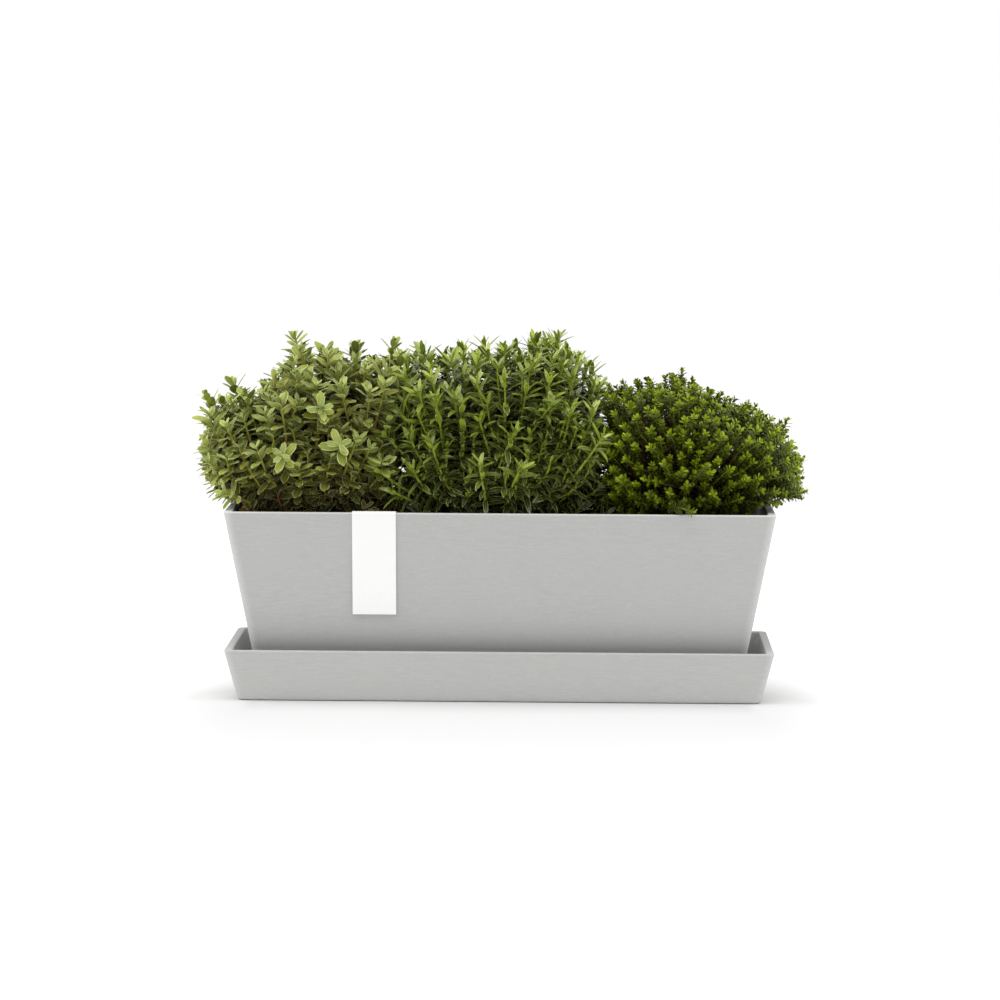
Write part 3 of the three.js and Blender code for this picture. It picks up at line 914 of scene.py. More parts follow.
# Seeds of the random draws. Those of the root balls count up from left to right.
CRUMB_TURN_SEED = 1
CRUMB_SIZE_SEED = 2
SOIL_CRUMB_SEED = 5
ROOT_SEED = 20
ROOT_CRUMB_SEED = 30


def soil_size(tub_settings, z, extra=0.0):
    """Length and width of the soil at a height, with a clearance to the pot."""
    inset = tub_settings.pot_wall + CLEARANCE + tub_settings.pot_draft * (RIM_Z - z) + extra
    return tub_settings.pot_length - 2 * inset, tub_settings.pot_width - 2 * inset


def root_ball_size(tub_settings, z, grow):
    """Length and width of a root ball at a height, grown or shrunk by a distance."""
    low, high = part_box("left_root_ball")
    inset = tub_settings.pot_draft * (ROOT_TOP_Z - z) - grow
    return high.x - low.x - 2 * inset, high.y - low.y - 2 * inset


def root_ball_loft(tub_settings, x, grow):
    """A root ball's closed outline at x, grown or shrunk by a distance."""
    rings = []
    for z in (ROOT_BOTTOM_Z - grow, ROOT_TOP_Z + grow):
        ring = rounded_ring(*root_ball_size(tub_settings, z, grow), ROOT_BALL_CORNER, z)
        rings.append([point + Vector((x, 0, 0)) for point in ring])
    return loft(rings)


def roughened(piece, top_z, top_depth, side_depth):
    """Gives a soil body an uneven top, which only sinks, and crumbly sides."""
    skin = [(vertex, vertex.normal.copy()) for vertex in piece.data.vertices]
    for vertex, normal in skin:
        lump = noise.fractal(vertex.co / LUMP, *LUMP_NOISE)
        if vertex.co.z > top_z - VOXEL:
            vertex.co.z -= top_depth * (0.5 + 0.5 * max(-1.0, min(1.0, lump)))
        else:
            vertex.co -= normal * side_depth * (0.5 + 0.5 * lump)
    piece.data.update()


def remeshed(holder, name):
    """Turns a blank into an even, closed skin of small faces."""
    remesh = holder.modifiers.new("skin", "REMESH")
    remesh.mode = "VOXEL"
    remesh.voxel_size = VOXEL
    remesh.use_smooth_shade = True
    return finished(holder, name)


def carpet(name, x_range, y_range, z, is_bare):
    """Flat cells over an area, leaving out those where nothing may lie."""
    made = bmesh.new()
    columns = int((x_range[1] - x_range[0]) / CARPET_CELL)
    rows = int((y_range[1] - y_range[0]) / CARPET_CELL)
    for i in range(columns):
        for j in range(rows):
            x = x_range[0] + i * CARPET_CELL
            y = y_range[0] + j * CARPET_CELL
            if is_bare(x + CARPET_CELL / 2, y + CARPET_CELL / 2):
                continue
            corners = [(x + a * CARPET_CELL, y + b * CARPET_CELL, z) for a, b in CELL_CORNERS]
            made.faces.new([made.verts.new(corner) for corner in corners])
    bmesh.ops.remove_doubles(made, verts=made.verts, dist=CARPET_CELL / 10)
    return show(name, as_mesh(made, name))


def crumb_shape(size, seed):
    """One angular crumb of twenty faces."""
    rng = random.Random(seed)
    made = bmesh.new()
    bmesh.ops.create_icosphere(made, subdivisions=1, radius=size / 2)
    for vertex in made.verts:
        vertex.co *= rng.uniform(*CRUMB_CORNERS)
    return show("crumb_shape", as_mesh(made, "crumb_shape"))


def crumb_tree():
    """Scatters crumbs over a carpet, each turned and sized its own way."""
    tree, given, result = new_geometry_tree(
        "scattered_crumbs",
        (
            ("Crumb", "Object"),
            ("Spacing", "Float"),
            ("Density", "Float"),
            ("Seed", "Int"),
            ("Material", "Material"),
        ),
    )
    points = add_node(
        tree,
        "GeometryNodeDistributePointsOnFaces",
        {
            "Mesh": given["Geometry"],
            "Distance Min": given["Spacing"],
            "Density Max": given["Density"],
            "Seed": given["Seed"],
        },
        distribute_method="POISSON",
    ).outputs["Points"]
    crumb = add_node(tree, "GeometryNodeObjectInfo", {"Object": given["Crumb"]}).outputs["Geometry"]
    turn = add_node(
        tree,
        "FunctionNodeRandomValue",
        {"Max": (math.tau, math.tau, math.tau), "Seed": CRUMB_TURN_SEED},
        data_type="FLOAT_VECTOR",
    ).outputs["Value"]
    size = add_node(
        tree,
        "FunctionNodeRandomValue",
        {"Min": CRUMB_LEAST, "Max": CRUMB_MOST, "Seed": CRUMB_SIZE_SEED},
        data_type="FLOAT_VECTOR",
    ).outputs["Value"]
    placed = add_node(
        tree,
        "GeometryNodeInstanceOnPoints",
        {"Points": points, "Instance": crumb, "Rotation": turn, "Scale": size},
    ).outputs["Instances"]
    real = add_node(tree, "GeometryNodeRealizeInstances", {"Geometry": placed}).outputs["Geometry"]
    painted = add_node(
        tree, "GeometryNodeSetMaterial", {"Geometry": real, "Material": given["Material"]}
    ).outputs["Geometry"]
    tree.links.new(painted, result["Geometry"])
    return tree


def scatter_crumbs(soil, name, ground, seed):
    """Crumbs over a carpet as one piece."""
    shape = crumb_shape(soil.crumb, seed)
    values = {
        "Crumb": shape,
        "Spacing": soil.crumb_spacing,
        "Density": CRUMB_COVER / soil.crumb_spacing**2,
        "Seed": seed,
        "Material": bpy.data.materials[MOIST_COMPOST],
    }
    grown_by(ground, bpy.data.node_groups.get("scattered_crumbs") or crumb_tree(), values)
    piece = finished(ground, name)
    bpy.data.objects.remove(shape)
    return piece


class PLANTER_OT_soil(bpy.types.Operator):
    """Makes the potting soil, with the pockets for the root balls and crumbs on its top"""

    bl_idname = "planter.soil"
    bl_label = "Potting soil"

    def execute(self, context):
        soil = context.scene.planter.soil
        tubs = context.scene.planter.tub
        corner = max(tubs.pot_corner - tubs.pot_wall, LEAST_INNER_CORNER)
        knee = SOIL_BOTTOM_Z + tubs.inner_edge
        rings = [
            rounded_ring(*soil_size(tubs, SOIL_BOTTOM_Z, tubs.inner_edge), corner, SOIL_BOTTOM_Z),
            rounded_ring(*soil_size(tubs, knee), corner, knee),
            rounded_ring(*soil_size(tubs, SOIL_Z), corner, SOIL_Z),
        ]
        pockets = [root_ball_loft(tubs, ROOT_X[side], CLEARANCE) for side in SIDES]
        blank = cut_from(as_mesh(loft(rings), "soil"), "soil_block", pockets)
        piece = remeshed(blank, "soil_bed")
        roughened(piece, SOIL_Z, soil.unevenness, 0.0)
        piece.data.materials.clear()
        piece.data.materials.append(moist_compost(soil))
        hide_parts("potting_soil")
        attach(piece, "pot")

        length_, width = soil_size(tubs, SOIL_Z)
        pocket_length, pocket_width = root_ball_size(tubs, SOIL_Z, CRUMB_MARGIN + CARPET_CELL / 2)

        def is_bare(x, y):
            return any(abs(x - ROOT_X[s]) < pocket_length / 2 and abs(y) < pocket_width / 2 for s in SIDES)

        half_x, half_y = length_ / 2 - CRUMB_MARGIN, width / 2 - CRUMB_MARGIN
        ground = carpet("soil_carpet", (-half_x, half_x), (-half_y, half_y), SOIL_Z - CRUMB_SINK, is_bare)
        crumbs = scatter_crumbs(soil, "soil_crumbs", ground, SOIL_CRUMB_SEED)
        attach(crumbs, "pot")
        return {"FINISHED"}


def root_paths(tub_settings, x, count, seed):
    """Roots that wander down the sides of a root ball, as lists of points."""
    rng = random.Random(seed)
    tall = ROOT_TOP_Z - ROOT_BOTTOM_Z - 2 * ROOT_MARGIN
    paths = []
    for _ in range(count):
        place = rng.random()
        up = rng.uniform(*ROOT_START)
        drift = rng.uniform(-ROOT_DRIFT, ROOT_DRIFT)
        path = []
        for _ in range(rng.randint(*ROOT_STEPS)):
            z = ROOT_BOTTOM_Z + ROOT_MARGIN + up * tall
            ring = rounded_ring(*root_ball_size(tub_settings, z, -ROOT_SINK), ROOT_BALL_CORNER, z)
            spot = (place % 1.0) * len(ring)
            here, past = int(spot), spot - int(spot)
            point = ring[here].lerp(ring[(here + 1) % len(ring)], past)
            path.append(point + Vector((x, 0, 0)))
            place += drift + rng.uniform(-ROOT_WANDER, ROOT_WANDER)
            up -= rng.uniform(*ROOT_DROP)
            if up < ROOT_END:
                break
        if len(path) >= LEAST_ROOT_STEPS:
            paths.append(path)
    return paths


def wire(name, paths, attributes):
    """A mesh of loose edges along paths, with named values for each path's points."""
    points, edges = [], []
    values = {key: [] for key in attributes}
    for number, path in enumerate(paths):
        first = len(points)
        points += path
        edges += [(first + i, first + i + 1) for i in range(len(path) - 1)]
        for key, rule in attributes.items():
            values[key] += [rule(number, i / (len(path) - 1)) for i in range(len(path))]
    mesh = bpy.data.meshes.new(name)
    mesh.from_pydata(points, edges, [])
    for key, numbers in values.items():
        mesh.attributes.new(key, "FLOAT", "POINT").data.foreach_set("value", numbers)
    return show(name, mesh)


def root_tree():
    """Round roots along loose edges."""
    tree, given, result = new_geometry_tree("wandering_roots", (("Sides", "Int"), ("Material", "Material")))
    paths = add_node(tree, "GeometryNodeMeshToCurve", {"Mesh": given["Geometry"]}).outputs["Curve"]
    section = add_node(
        tree, "GeometryNodeCurvePrimitiveCircle", {"Resolution": given["Sides"], "Radius": 1.0}
    ).outputs["Curve"]
    thickness = add_node(
        tree, "GeometryNodeInputNamedAttribute", {"Name": STEM_RADIUS}, data_type="FLOAT"
    ).outputs["Attribute"]
    tubes = add_node(
        tree,
        "GeometryNodeCurveToMesh",
        {"Curve": paths, "Profile Curve": section, "Scale": thickness, "Fill Caps": True},
    ).outputs["Mesh"]
    real = add_node(tree, "GeometryNodeRealizeInstances", {"Geometry": tubes}).outputs["Geometry"]
    painted = add_node(
        tree, "GeometryNodeSetMaterial", {"Geometry": real, "Material": given["Material"]}
    ).outputs["Geometry"]
    tree.links.new(painted, result["Geometry"])
    return tree


class PLANTER_OT_root_balls(bpy.types.Operator):
    """Makes the three root balls, with roots down their sides and crumbs on their tops"""

    bl_idname = "planter.root_balls"
    bl_label = "Root balls"

    def execute(self, context):
        soil = context.scene.planter.soil
        tubs = context.scene.planter.tub
        roots = fibrous_root(soil)
        tree = root_tree()
        for number, side in enumerate(SIDES):
            x = ROOT_X[side]
            plug = show(f"{side}_plug", as_mesh(root_ball_loft(tubs, x, -ROOT_SINK), "plug"))
            piece = remeshed(plug, f"{side}_root_ball_core")
            top = ROOT_TOP_Z - ROOT_SINK
            roughened(piece, top, CORE_TOP_SHARE * soil.unevenness, CORE_ROUGHNESS)
            piece.data.materials.append(bpy.data.materials[MOIST_COMPOST])
            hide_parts(f"{side}_root_ball")
            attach(piece, f"{side}_plant")

            paths = root_paths(tubs, x, soil.roots, ROOT_SEED + number)
            taper = {STEM_RADIUS: lambda n, t: soil.root / 2 * (1 - ROOT_TAPER * t)}
            holder = wire(f"{side}_root_wire", paths, taper)
            grown_by(holder, tree, {"Sides": ROOT_SIDES, "Material": roots})
            strands = finished(holder, f"{side}_roots")
            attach(strands, f"{side}_plant")

            length_, width = root_ball_size(tubs, ROOT_TOP_Z, -CRUMB_MARGIN - CARPET_CELL / 2)
            ground = carpet(
                f"{side}_carpet",
                (x - length_ / 2, x + length_ / 2),
                (-width / 2, width / 2),
                top,
                lambda a, b: False,
            )
            crumbs = scatter_crumbs(soil, f"{side}_root_crumbs", ground, ROOT_CRUMB_SEED + number)
            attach(crumbs, f"{side}_plant")
        return {"FINISHED"}


# Shrubs: shoots along curves, with leaves in crossed pairs

# Values that a shoot's points carry: how far leaves run down from its tip, how far its youngest leaves
# close up, and how strongly it grows, together with its painted shade: both darken its leaves and stems.
LEAF_RUN = "leaf_run"
TIP_RISE = "tip_rise"
VIGOUR_AND_SHADE = "vigour"

# The lengths from here to the end of the tables are in millimetres, apart from STEM_STEP.
# Each shrub is made in bands along Y, one piece to a band.
BANDS = (("front", -200, -28), ("inner_front", -28, 0), ("inner_back", 0, 28), ("back", 28, 200))
# Stems: the step along them, and the share of their thickness that they lose to the tip.
STEM_STEP = 5 * MM
STEM_TAPER = 0.5
# Layers of tips by their depth under the crown's skin, how strongly each grows, with painted shade on the
# inner layer, and how many spots are tried for a tip, of which it takes the one furthest from the others.
CROWN_LAYERS = ((0, 10), (10, 32))
LAYER_VIGOUR_AND_SHADE = (1.0, 0.66)
SPOTS_TRIED = 8
# The crown's form: how square it is from above, and how far and how suddenly it falls to front and back.
CROWN_POWER = 6
SHOULDER_FALL = 0.25
SHOULDER_POWER = 4
# Low in the crown: how far up the shade reaches, where tips draw back and are given painted shade, where
# tips in it may lie (half-length and half-width, depth below the rim, height above the crown's lowest tips),
# and how far their leaves run down.
SHADE_HEIGHT = 22
UNDERGROWTH_REACH = (166, 42)
UNDERGROWTH_DEPTH = 2
UNDERGROWTH_HEIGHT = 4
UNDERGROWTH_RUN = 16
# Past this X and within this Y, the middle shrub leaves room for its neighbours' root balls to be lifted.
LIFTING_LANE = (67, 46)
# Shoots that end past this X have their elbow no lower than this Z, to clear the pot's rim.
OVERHANG_FROM = 172
OVERHANG_ELBOW = 138
# Shoots: steps and wander of the leading ones and of the others, and the waves of the wander in X and Y.
LEADING_STEPS = 24
LEADING_WANDER = 1.0
SHOOT_STEPS = 18
SHOOT_WANDER = 1.6
SWAY_WAVES = (5, 6)
# Every so many shoots one starts at the foot, a little sunk, and the others branch from the nearest of
# those. Starts are shares of the way out to the tip, or along the shoot that they branch from.
LEADER_EVERY = 5
FOOT_SINK = 2
FOOT_START = (0.02, 0.2)
UNDERGROWTH_START = (0.4, 0.65)
BRANCH_START = (0.25, 0.5)
# Elbows: how far out they lie on upright shoots, less on tall ones, and how far up, less on upright ones.
ELBOW_OUT = (0.8, 0.9)
TALL_SHOOT = 110
TALL_DRAW = 0.25
ELBOW_UP = 0.55
UPRIGHT_DRAW = 0.2
# How far the tips close up.
CLOSED_TIPS = (0.6, 1.0)
# Leaves: columns of faces, thickness as a share of the width, the curve of the fold, how far into its
# widening a blade starts, and its least width at the stalk.
BLADE_COLUMNS = 2
BLADE_THICKNESS = 0.035
FOLD_POWER = 1.5
STALK_START = 0.03
STALK_WIDTH = 0.2
# Leaves on the shoot: the part of the closing run in which they are smaller, how much young ones arch,
# how far they stray in turn and rise, and the range of their sizes.
BUD_SHARE = 0.4
YOUNG_ARCH = 0.3
STRAY_TURN = 0.4
STRAY_RISE = 0.28
LEAF_SIZES = (0.76, 1.18)
# Seeds of the leaves' chance values. The second leaf of a pair takes the next number.
TONE_SEED = 3
TURN_SEED = 10
RISE_SEED = 20
KEPT_SEED = 30
SIZE_SEED = 40
# Leaves keep this share of their length clear of the pot's walls, and this share of that above its rim.
LEAF_REACH = 0.9
RIM_REACH = 0.6

# How each shrub grows:
# seed: of its random draws
# blade: the powers by which a leaf widens from its base and narrows to its tip, its rows of faces, how
#   these spread along it (1 is even), how far its sides fold up and how far its tip droops
# tips: how many shoots end on the crown's skin, inside it and low in its shade
# recess: how far the lowest tips draw back from the front and the back
# shade: how strongly shoots grow in the shade, which also sets their painted shade: lower is darker
# run: how far leaves run down from the tip
# upright: 1 where shoots rise to their tips, 0 where they spread from the foot like rays
# ends, depth, low, outline: the crown's ends along X, half its depth, its lowest tips, its top along X
# keeps_lanes: whether its tips keep out of the neighbours' lifting lanes
# leading: single shoots, each with its foot, elbow and tip, the run of its leaves, and how far the
#   youngest close up: 1 is a pointed tip, 0 a flat rosette
GROWTH = {
    "left": {
        "seed": 11,
        "blade": {"powers": (0.7, 0.5), "rows": 5, "spread": 0.85, "fold": 0.18, "droop": 0.06},
        "tips": (190, 90, 60),
        "recess": 0.35,
        "shade": 0.36,
        "run": (32, 50),
        "upright": 0.9,
        "ends": (-199, -66),
        "keeps_lanes": False,
        "depth": 53,
        "low": 137,
        "outline": (
            (-206, 170),
            (-198, 191),
            (-182, 202),
            (-161, 201),
            (-152, 218),
            (-139, 232),
            (-66, 227),
        ),
        "leading": (
            ((-120, 0, 116), (-126, -4, 180), (-139, -6, 240), 60, 0.9),
            ((-116, 4, 116), (-118, 2, 180), (-118, -8, 231), 55, 0.9),
            ((-112, 4, 116), (-104, 2, 170), (-98, 2, 233), 55, 1.0),
            ((-110, 0, 116), (-84, -4, 170), (-73, -4, 236), 50, 1.0),
            ((-130, -4, 116), (-168, -10, 150), (-198, -12, 200), 40, 0.9),
            ((-128, 4, 116), (-164, 6, 160), (-182, 6, 208), 50, 1.0),
            ((-126, -8, 116), (-152, -14, 160), (-171, -18, 203), 50, 0.9),
            ((-132, -8, 116), (-182, -16, 134), (-199, -18, 162), 50, 0.8),
            ((-132, -14, 116), (-176, -30, 130), (-191, -34, 146), 44, 0.8),
            ((-128, -16, 116), (-170, -40, 130), (-184, -50, 139), 44, 0.8),
            ((-116, -10, 116), (-118, -24, 184), (-118, -58, 196), 30, 0.05),
            ((-114, -12, 116), (-108, -26, 160), (-106, -59, 172), 30, 0.1),
            ((-124, -12, 116), (-140, -28, 152), (-144, -60, 165), 30, 0.2),
        ),
    },
    "middle": {
        "seed": 23,
        "blade": {"powers": (0.45, 0.5), "rows": 5, "spread": 1.0, "fold": 0.3, "droop": 0.3},
        "tips": (230, 120, 70),
        "recess": 0.3,
        "shade": 0.36,
        "run": (40, 60),
        "upright": 1.0,
        "ends": (-72, 73),
        "keeps_lanes": True,
        "depth": 53,
        "low": 134,
        "outline": (
            (-64, 225),
            (-54, 231),
            (-26, 230),
            (10, 235),
            (24, 238),
            (38, 238),
            (58, 222),
            (66, 212),
        ),
        "leading": (
            ((-8, 2, 116), (-30, 0, 180), (-54, -4, 232), 70, 1.0),
            ((-4, 2, 116), (-16, 0, 180), (-26, -2, 232), 70, 1.0),
            ((0, 0, 116), (-6, 0, 180), (-12, -4, 235), 70, 1.0),
            ((6, 2, 116), (16, 2, 180), (22, 0, 239), 70, 1.0),
            ((8, 0, 116), (26, -4, 180), (38, -4, 240), 70, 1.0),
            ((12, 0, 116), (44, 0, 166), (58, -2, 222), 60, 1.0),
            ((-10, -8, 116), (-34, -30, 160), (-54, -46, 205), 50, 1.0),
            ((-12, -12, 116), (-36, -44, 130), (-45, -56, 172), 46, 0.9),
            ((-4, -14, 116), (-8, -44, 150), (10, -57, 181), 46, 0.8),
            ((0, -10, 116), (12, -34, 172), (34, -56, 199), 42, 0.8),
            ((2, -14, 116), (2, -46, 140), (15, -59, 157), 34, 0.8),
            ((6, -12, 116), (40, -40, 158), (46, -54, 193), 34, 1.0),
            ((10, -14, 116), (46, -46, 140), (68, -57, 178), 40, 0.9),
            ((-6, -14, 116), (-12, -48, 132), (-13, -58, 160), 36, 0.9),
            ((-6, -6, 116), (-28, -36, 164), (-30, -52, 203), 34, 1.0),
            ((-14, -10, 116), (-58, -34, 134), (-82, -45, 154), 46, 0.9),
            ((-12, -8, 116), (-54, -26, 150), (-76, -43, 176), 46, 0.9),
            ((-14, -12, 116), (-50, -38, 126), (-72, -46, 140), 36, 0.8),
            ((-10, -6, 116), (-48, -30, 170), (-67, -44, 192), 40, 0.9),
            ((6, -8, 116), (16, -34, 190), (20, -46, 224), 50, 1.0),
        ),
    },
    "right": {
        "seed": 37,
        "blade": {"powers": (0.55, 0.3), "rows": 3, "spread": 0.7, "fold": 0.25, "droop": 0.1},
        "tips": (560, 140, 150),
        "recess": 0.12,
        "shade": 0.9,
        "run": (13, 22),
        "upright": 0.0,
        "ends": (67, 202),
        "keeps_lanes": False,
        "depth": 57,
        "low": 132,
        "outline": (
            (70, 208),
            (98, 212),
            (121, 217),
            (137, 207),
            (156, 199),
            (172, 195),
            (190, 183),
            (206, 152),
        ),
        "leading": (
            ((112, -12, 116), (104, -56, 138), (128, -67, 129), 30, 0.8),
            ((112, -8, 116), (116, -44, 138), (137, -61, 160), 30, 0.8),
            ((106, -8, 116), (92, -40, 130), (79, -56, 150), 14, 0.9),
            ((118, 0, 116), (120, -4, 180), (121, -6, 219), 30, 1.0),
            ((126, 0, 116), (176, -4, 150), (192, -6, 186), 26, 0.9),
            ((128, -4, 116), (184, -10, 136), (203, -12, 161), 26, 0.9),
            ((128, -8, 116), (182, -24, 132), (204, -28, 140), 24, 0.8),
            ((140, -16, 116), (160, -34, 124), (170, -42, 133), 16, 0.7),
            ((140, -8, 116), (164, -18, 124), (174, -22, 134), 18, 0.7),
            ((140, 0, 116), (166, 0, 124), (176, 2, 136), 18, 0.7),
            ((140, 8, 116), (164, 18, 124), (174, 22, 136), 18, 0.7),
            ((140, 16, 116), (160, 34, 124), (170, 42, 135), 16, 0.7),
        ),
    },
}

# What sets each shrub's leaves and stems apart:
# slot: the record's material slot
# margin: the width of the pale margin, partly a painted edge highlight, as a share of half the blade
# roughness, gloss, bloom: the roughness, gloss and hairy bloom of the skin
# rib: how pale the rib is
# gathering: how leaves gather towards the tip (1 is even)
# closing_run: the length over which young leaves close up
# stem_sides: the sides of a stem
# kept: the share of leaves that stayed on
FINISH = {
    "left": {
        "slot": "cream_edged_leaf",
        "margin": 0.2,
        "roughness": 0.5,
        "gloss": 0.25,
        "bloom": 0.12,
        "rib": 0.15,
        "gathering": 1.35,
        "closing_run": 14,
        "stem_sides": 7,
        "kept": 0.97,
    },
    "middle": {
        "slot": "narrow_green_leaf",
        "margin": 0.26,
        "roughness": 0.28,
        "gloss": 0.6,
        "bloom": 0.0,
        "rib": 0.35,
        "gathering": 1.4,
        "closing_run": 12,
        "stem_sides": 7,
        "kept": 0.96,
    },
    "right": {
        "slot": "fine_dark_leaf",
        "margin": 0.3,
        "roughness": 0.45,
        "gloss": 0.2,
        "bloom": 0.0,
        "rib": 0.15,
        "gathering": 1.15,
        "closing_run": 5,
        "stem_sides": 5,
        "kept": 0.97,
    },
}


def outline_at(points, x):
    """The height of an outline at x, in straight stretches between its points."""
    for (x0, z0), (x1, z1) in zip(points, points[1:]):
        if x <= x1:
            return z0 + (z1 - z0) * max(0.0, (x - x0) / (x1 - x0))
    return points[-1][1]


def bent(start, elbow, tip, steps, rng, wander):
    """A smooth shoot from its start over its elbow to its tip, with a little wander on the way."""
    phase_x, phase_y = rng.uniform(0, math.tau), rng.uniform(0, math.tau)
    path = []
    for step in range(steps + 1):
        t = step / steps
        point = (1 - t) ** 2 * start + 2 * t * (1 - t) * elbow + t * t * tip
        sway = wander * math.sin(math.pi * t)
        waves = Vector((math.sin(SWAY_WAVES[0] * t + phase_x), math.sin(SWAY_WAVES[1] * t + phase_y), 0))
        path.append(point + sway * waves)
    return path


def crown_spot(plan, layer, rng):
    """A chance spot in a crown, with its depth under the crown's skin within a layer."""
    x_low, x_high = plan["ends"]
    middle, half = (x_low + x_high) / 2, (x_high - x_low) / 2
    while True:
        u, v, h = rng.uniform(-1, 1), rng.uniform(-1, 1), rng.random()
        x = middle + half * u
        crest = (outline_at(plan["outline"], x) - plan["low"]) * (1 - SHOULDER_FALL * v**SHOULDER_POWER)
        depth = plan["depth"] * (1 - plan["recess"] * max(0.0, 1 - crest * h / SHADE_HEIGHT))
        under = min(half * (1 - abs(u)), depth * (1 - abs(v)), crest * (1 - h))
        is_in_crown = u**CROWN_POWER + v**CROWN_POWER < 1 and layer[0] <= under < layer[1]
        is_in_lane = plan["keeps_lanes"] and abs(x) > LIFTING_LANE[0] and abs(depth * v) < LIFTING_LANE[1]
        if is_in_crown and not is_in_lane:
            return Vector((x, depth * v, plan["low"] + crest * h))


def shaded_spot(plan, rng):
    """A chance spot low in a crown's shade, inside the pot's opening."""
    reach_x, reach_y = UNDERGROWTH_REACH
    x = min(max(rng.uniform(*plan["ends"]), -reach_x), reach_x)
    y = rng.uniform(-reach_y, reach_y)
    return Vector((x, y, rng.uniform(RIM_Z / MM - UNDERGROWTH_DEPTH, plan["low"] + UNDERGROWTH_HEIGHT)))


def furthest(spots, tips):
    """The spot, of a few tried, that lies furthest from the tips so far."""
    return max(spots, key=lambda spot: min(((spot - tip).length_squared for tip in tips), default=0))


def crown_tips(plan, rng):
    """Tips spread evenly over a crown and in its shade, each with its vigour."""
    tips, vigours_and_shades = [], []
    for count, layer, vigour in zip(plan["tips"], CROWN_LAYERS, LAYER_VIGOUR_AND_SHADE):
        for _ in range(count):
            tip = furthest([crown_spot(plan, layer, rng) for _ in range(SPOTS_TRIED)], tips)
            # Tips low in the crown and on the inner layer get less vigour, which darkens their leaves:
            # partly weaker growth, partly painted shade.
            light = min(1.0, (tip.z - plan["low"]) / SHADE_HEIGHT)
            tips.append(tip)
            vigours_and_shades.append(vigour * (plan["shade"] + (1 - plan["shade"]) * light))
    for _ in range(plan["tips"][-1]):
        tips.append(furthest([shaded_spot(plan, rng) for _ in range(SPOTS_TRIED)], tips))
        vigours_and_shades.append(plan["shade"])
    return list(zip(tips, vigours_and_shades))


def shoots_of(side, plan):
    """All shoots of a shrub: path, run of the leaves, how far the tip closes, and how strongly it grows."""
    rng = random.Random(plan["seed"])
    foot = Vector((ROOT_X[side] / MM, 0, SHRUB_FOOT_Z / MM - FOOT_SINK))
    shoots = []
    for start, elbow, tip, run, rise in plan["leading"]:
        path = bent(Vector(start), Vector(elbow), Vector(tip), LEADING_STEPS, rng, LEADING_WANDER)
        shoots.append((path, run, rise, 1.0))
    leaders = []
    for number, (tip, vigour) in enumerate(crown_tips(plan, rng)):
        is_low = number >= sum(plan["tips"][:-1])
        is_leader = number % LEADER_EVERY == 0 and not is_low
        start = foot + Vector((tip.x - foot.x, tip.y, 0)) * rng.uniform(*FOOT_START)
        if is_low:
            start = foot.lerp(Vector((tip.x, tip.y, foot.z)), rng.uniform(*UNDERGROWTH_START))
        elif not is_leader:
            nearest = min(leaders, key=lambda path: (path[-1] - tip).length)
            start = nearest[int(len(nearest) * rng.uniform(*BRANCH_START))]
        height = min(1.0, (tip.z - foot.z) / TALL_SHOOT)
        out = rng.uniform(*ELBOW_OUT) - TALL_DRAW * height
        elbow = start.lerp(tip, 0.5 + (out - 0.5) * plan["upright"])
        elbow.z = start.z + (tip.z - start.z) * (ELBOW_UP - UPRIGHT_DRAW * plan["upright"])
        if abs(tip.x) > OVERHANG_FROM:
            elbow.z = max(elbow.z, OVERHANG_ELBOW)
        path = bent(start, elbow, tip, SHOOT_STEPS, rng, SHOOT_WANDER)
        if is_leader:
            leaders.append(path)
        run = UNDERGROWTH_RUN if is_low else rng.uniform(*plan["run"])
        shoots.append((path, run, rng.uniform(*CLOSED_TIPS), vigour))
    return [([point * MM for point in path], run * MM, rise, vigour) for path, run, rise, vigour in shoots]


def leaf_blade(name, size, width, blade):
    """One leaf as a closed blade along +X, upper side to +Z, folded along its rib and arching over."""
    rise, fall = blade["powers"]
    peak = (rise / (rise + fall)) ** rise * (fall / (rise + fall)) ** fall
    columns, rows = BLADE_COLUMNS, blade["rows"]
    thickness = BLADE_THICKNESS * width
    made = bmesh.new()
    uv = made.loops.layers.uv.new(LEAF_MAP)
    known = {}

    def corner(row, column, side):
        """A vertex of the blade and its place on the leaf's map. Both sides share the margins and tip."""
        t = (row / rows) ** blade["spread"]
        off = 2 * column / columns - 1
        is_shared = column in (0, columns) or row == rows
        key = (row, 0 if row == rows else column, "shared" if is_shared else side)
        if key not in known:
            swell = (STALK_START + (1 - STALK_START) * t) ** rise * (1 - t) ** fall / peak
            half = width / 2 * max(swell, STALK_WIDTH if row == 0 else 0.0)
            height = blade["fold"] * half * abs(off) ** FOLD_POWER - blade["droop"] * size * t**2
            if not is_shared:
                height += thickness if side == "upper" else -thickness
            known[key] = made.verts.new((size * t, half * off, height))
        return known[key], ((off + 1) / 2, t)

    for side in ("upper", "lower"):
        for row in range(rows):
            for column in range(columns):
                places = [(row, column), (row + 1, column), (row + 1, column + 1), (row, column + 1)]
                if row + 1 == rows:
                    del places[2]
                if side == "lower":
                    places.reverse()
                corners = [corner(a, b, side) for a, b in places]
                face = made.faces.new([vertex for vertex, _ in corners])
                for loop, (_, spot) in zip(face.loops, corners):
                    loop[uv].uv = spot
    stalk = [corner(0, column, "upper")[0] for column in range(columns + 1)]
    stalk += [corner(0, column, "lower")[0] for column in range(columns - 1, 0, -1)]
    made.faces.new(stalk)
    bmesh.ops.recalc_face_normals(made, faces=made.faces)
    return show(name, as_mesh(made, name))


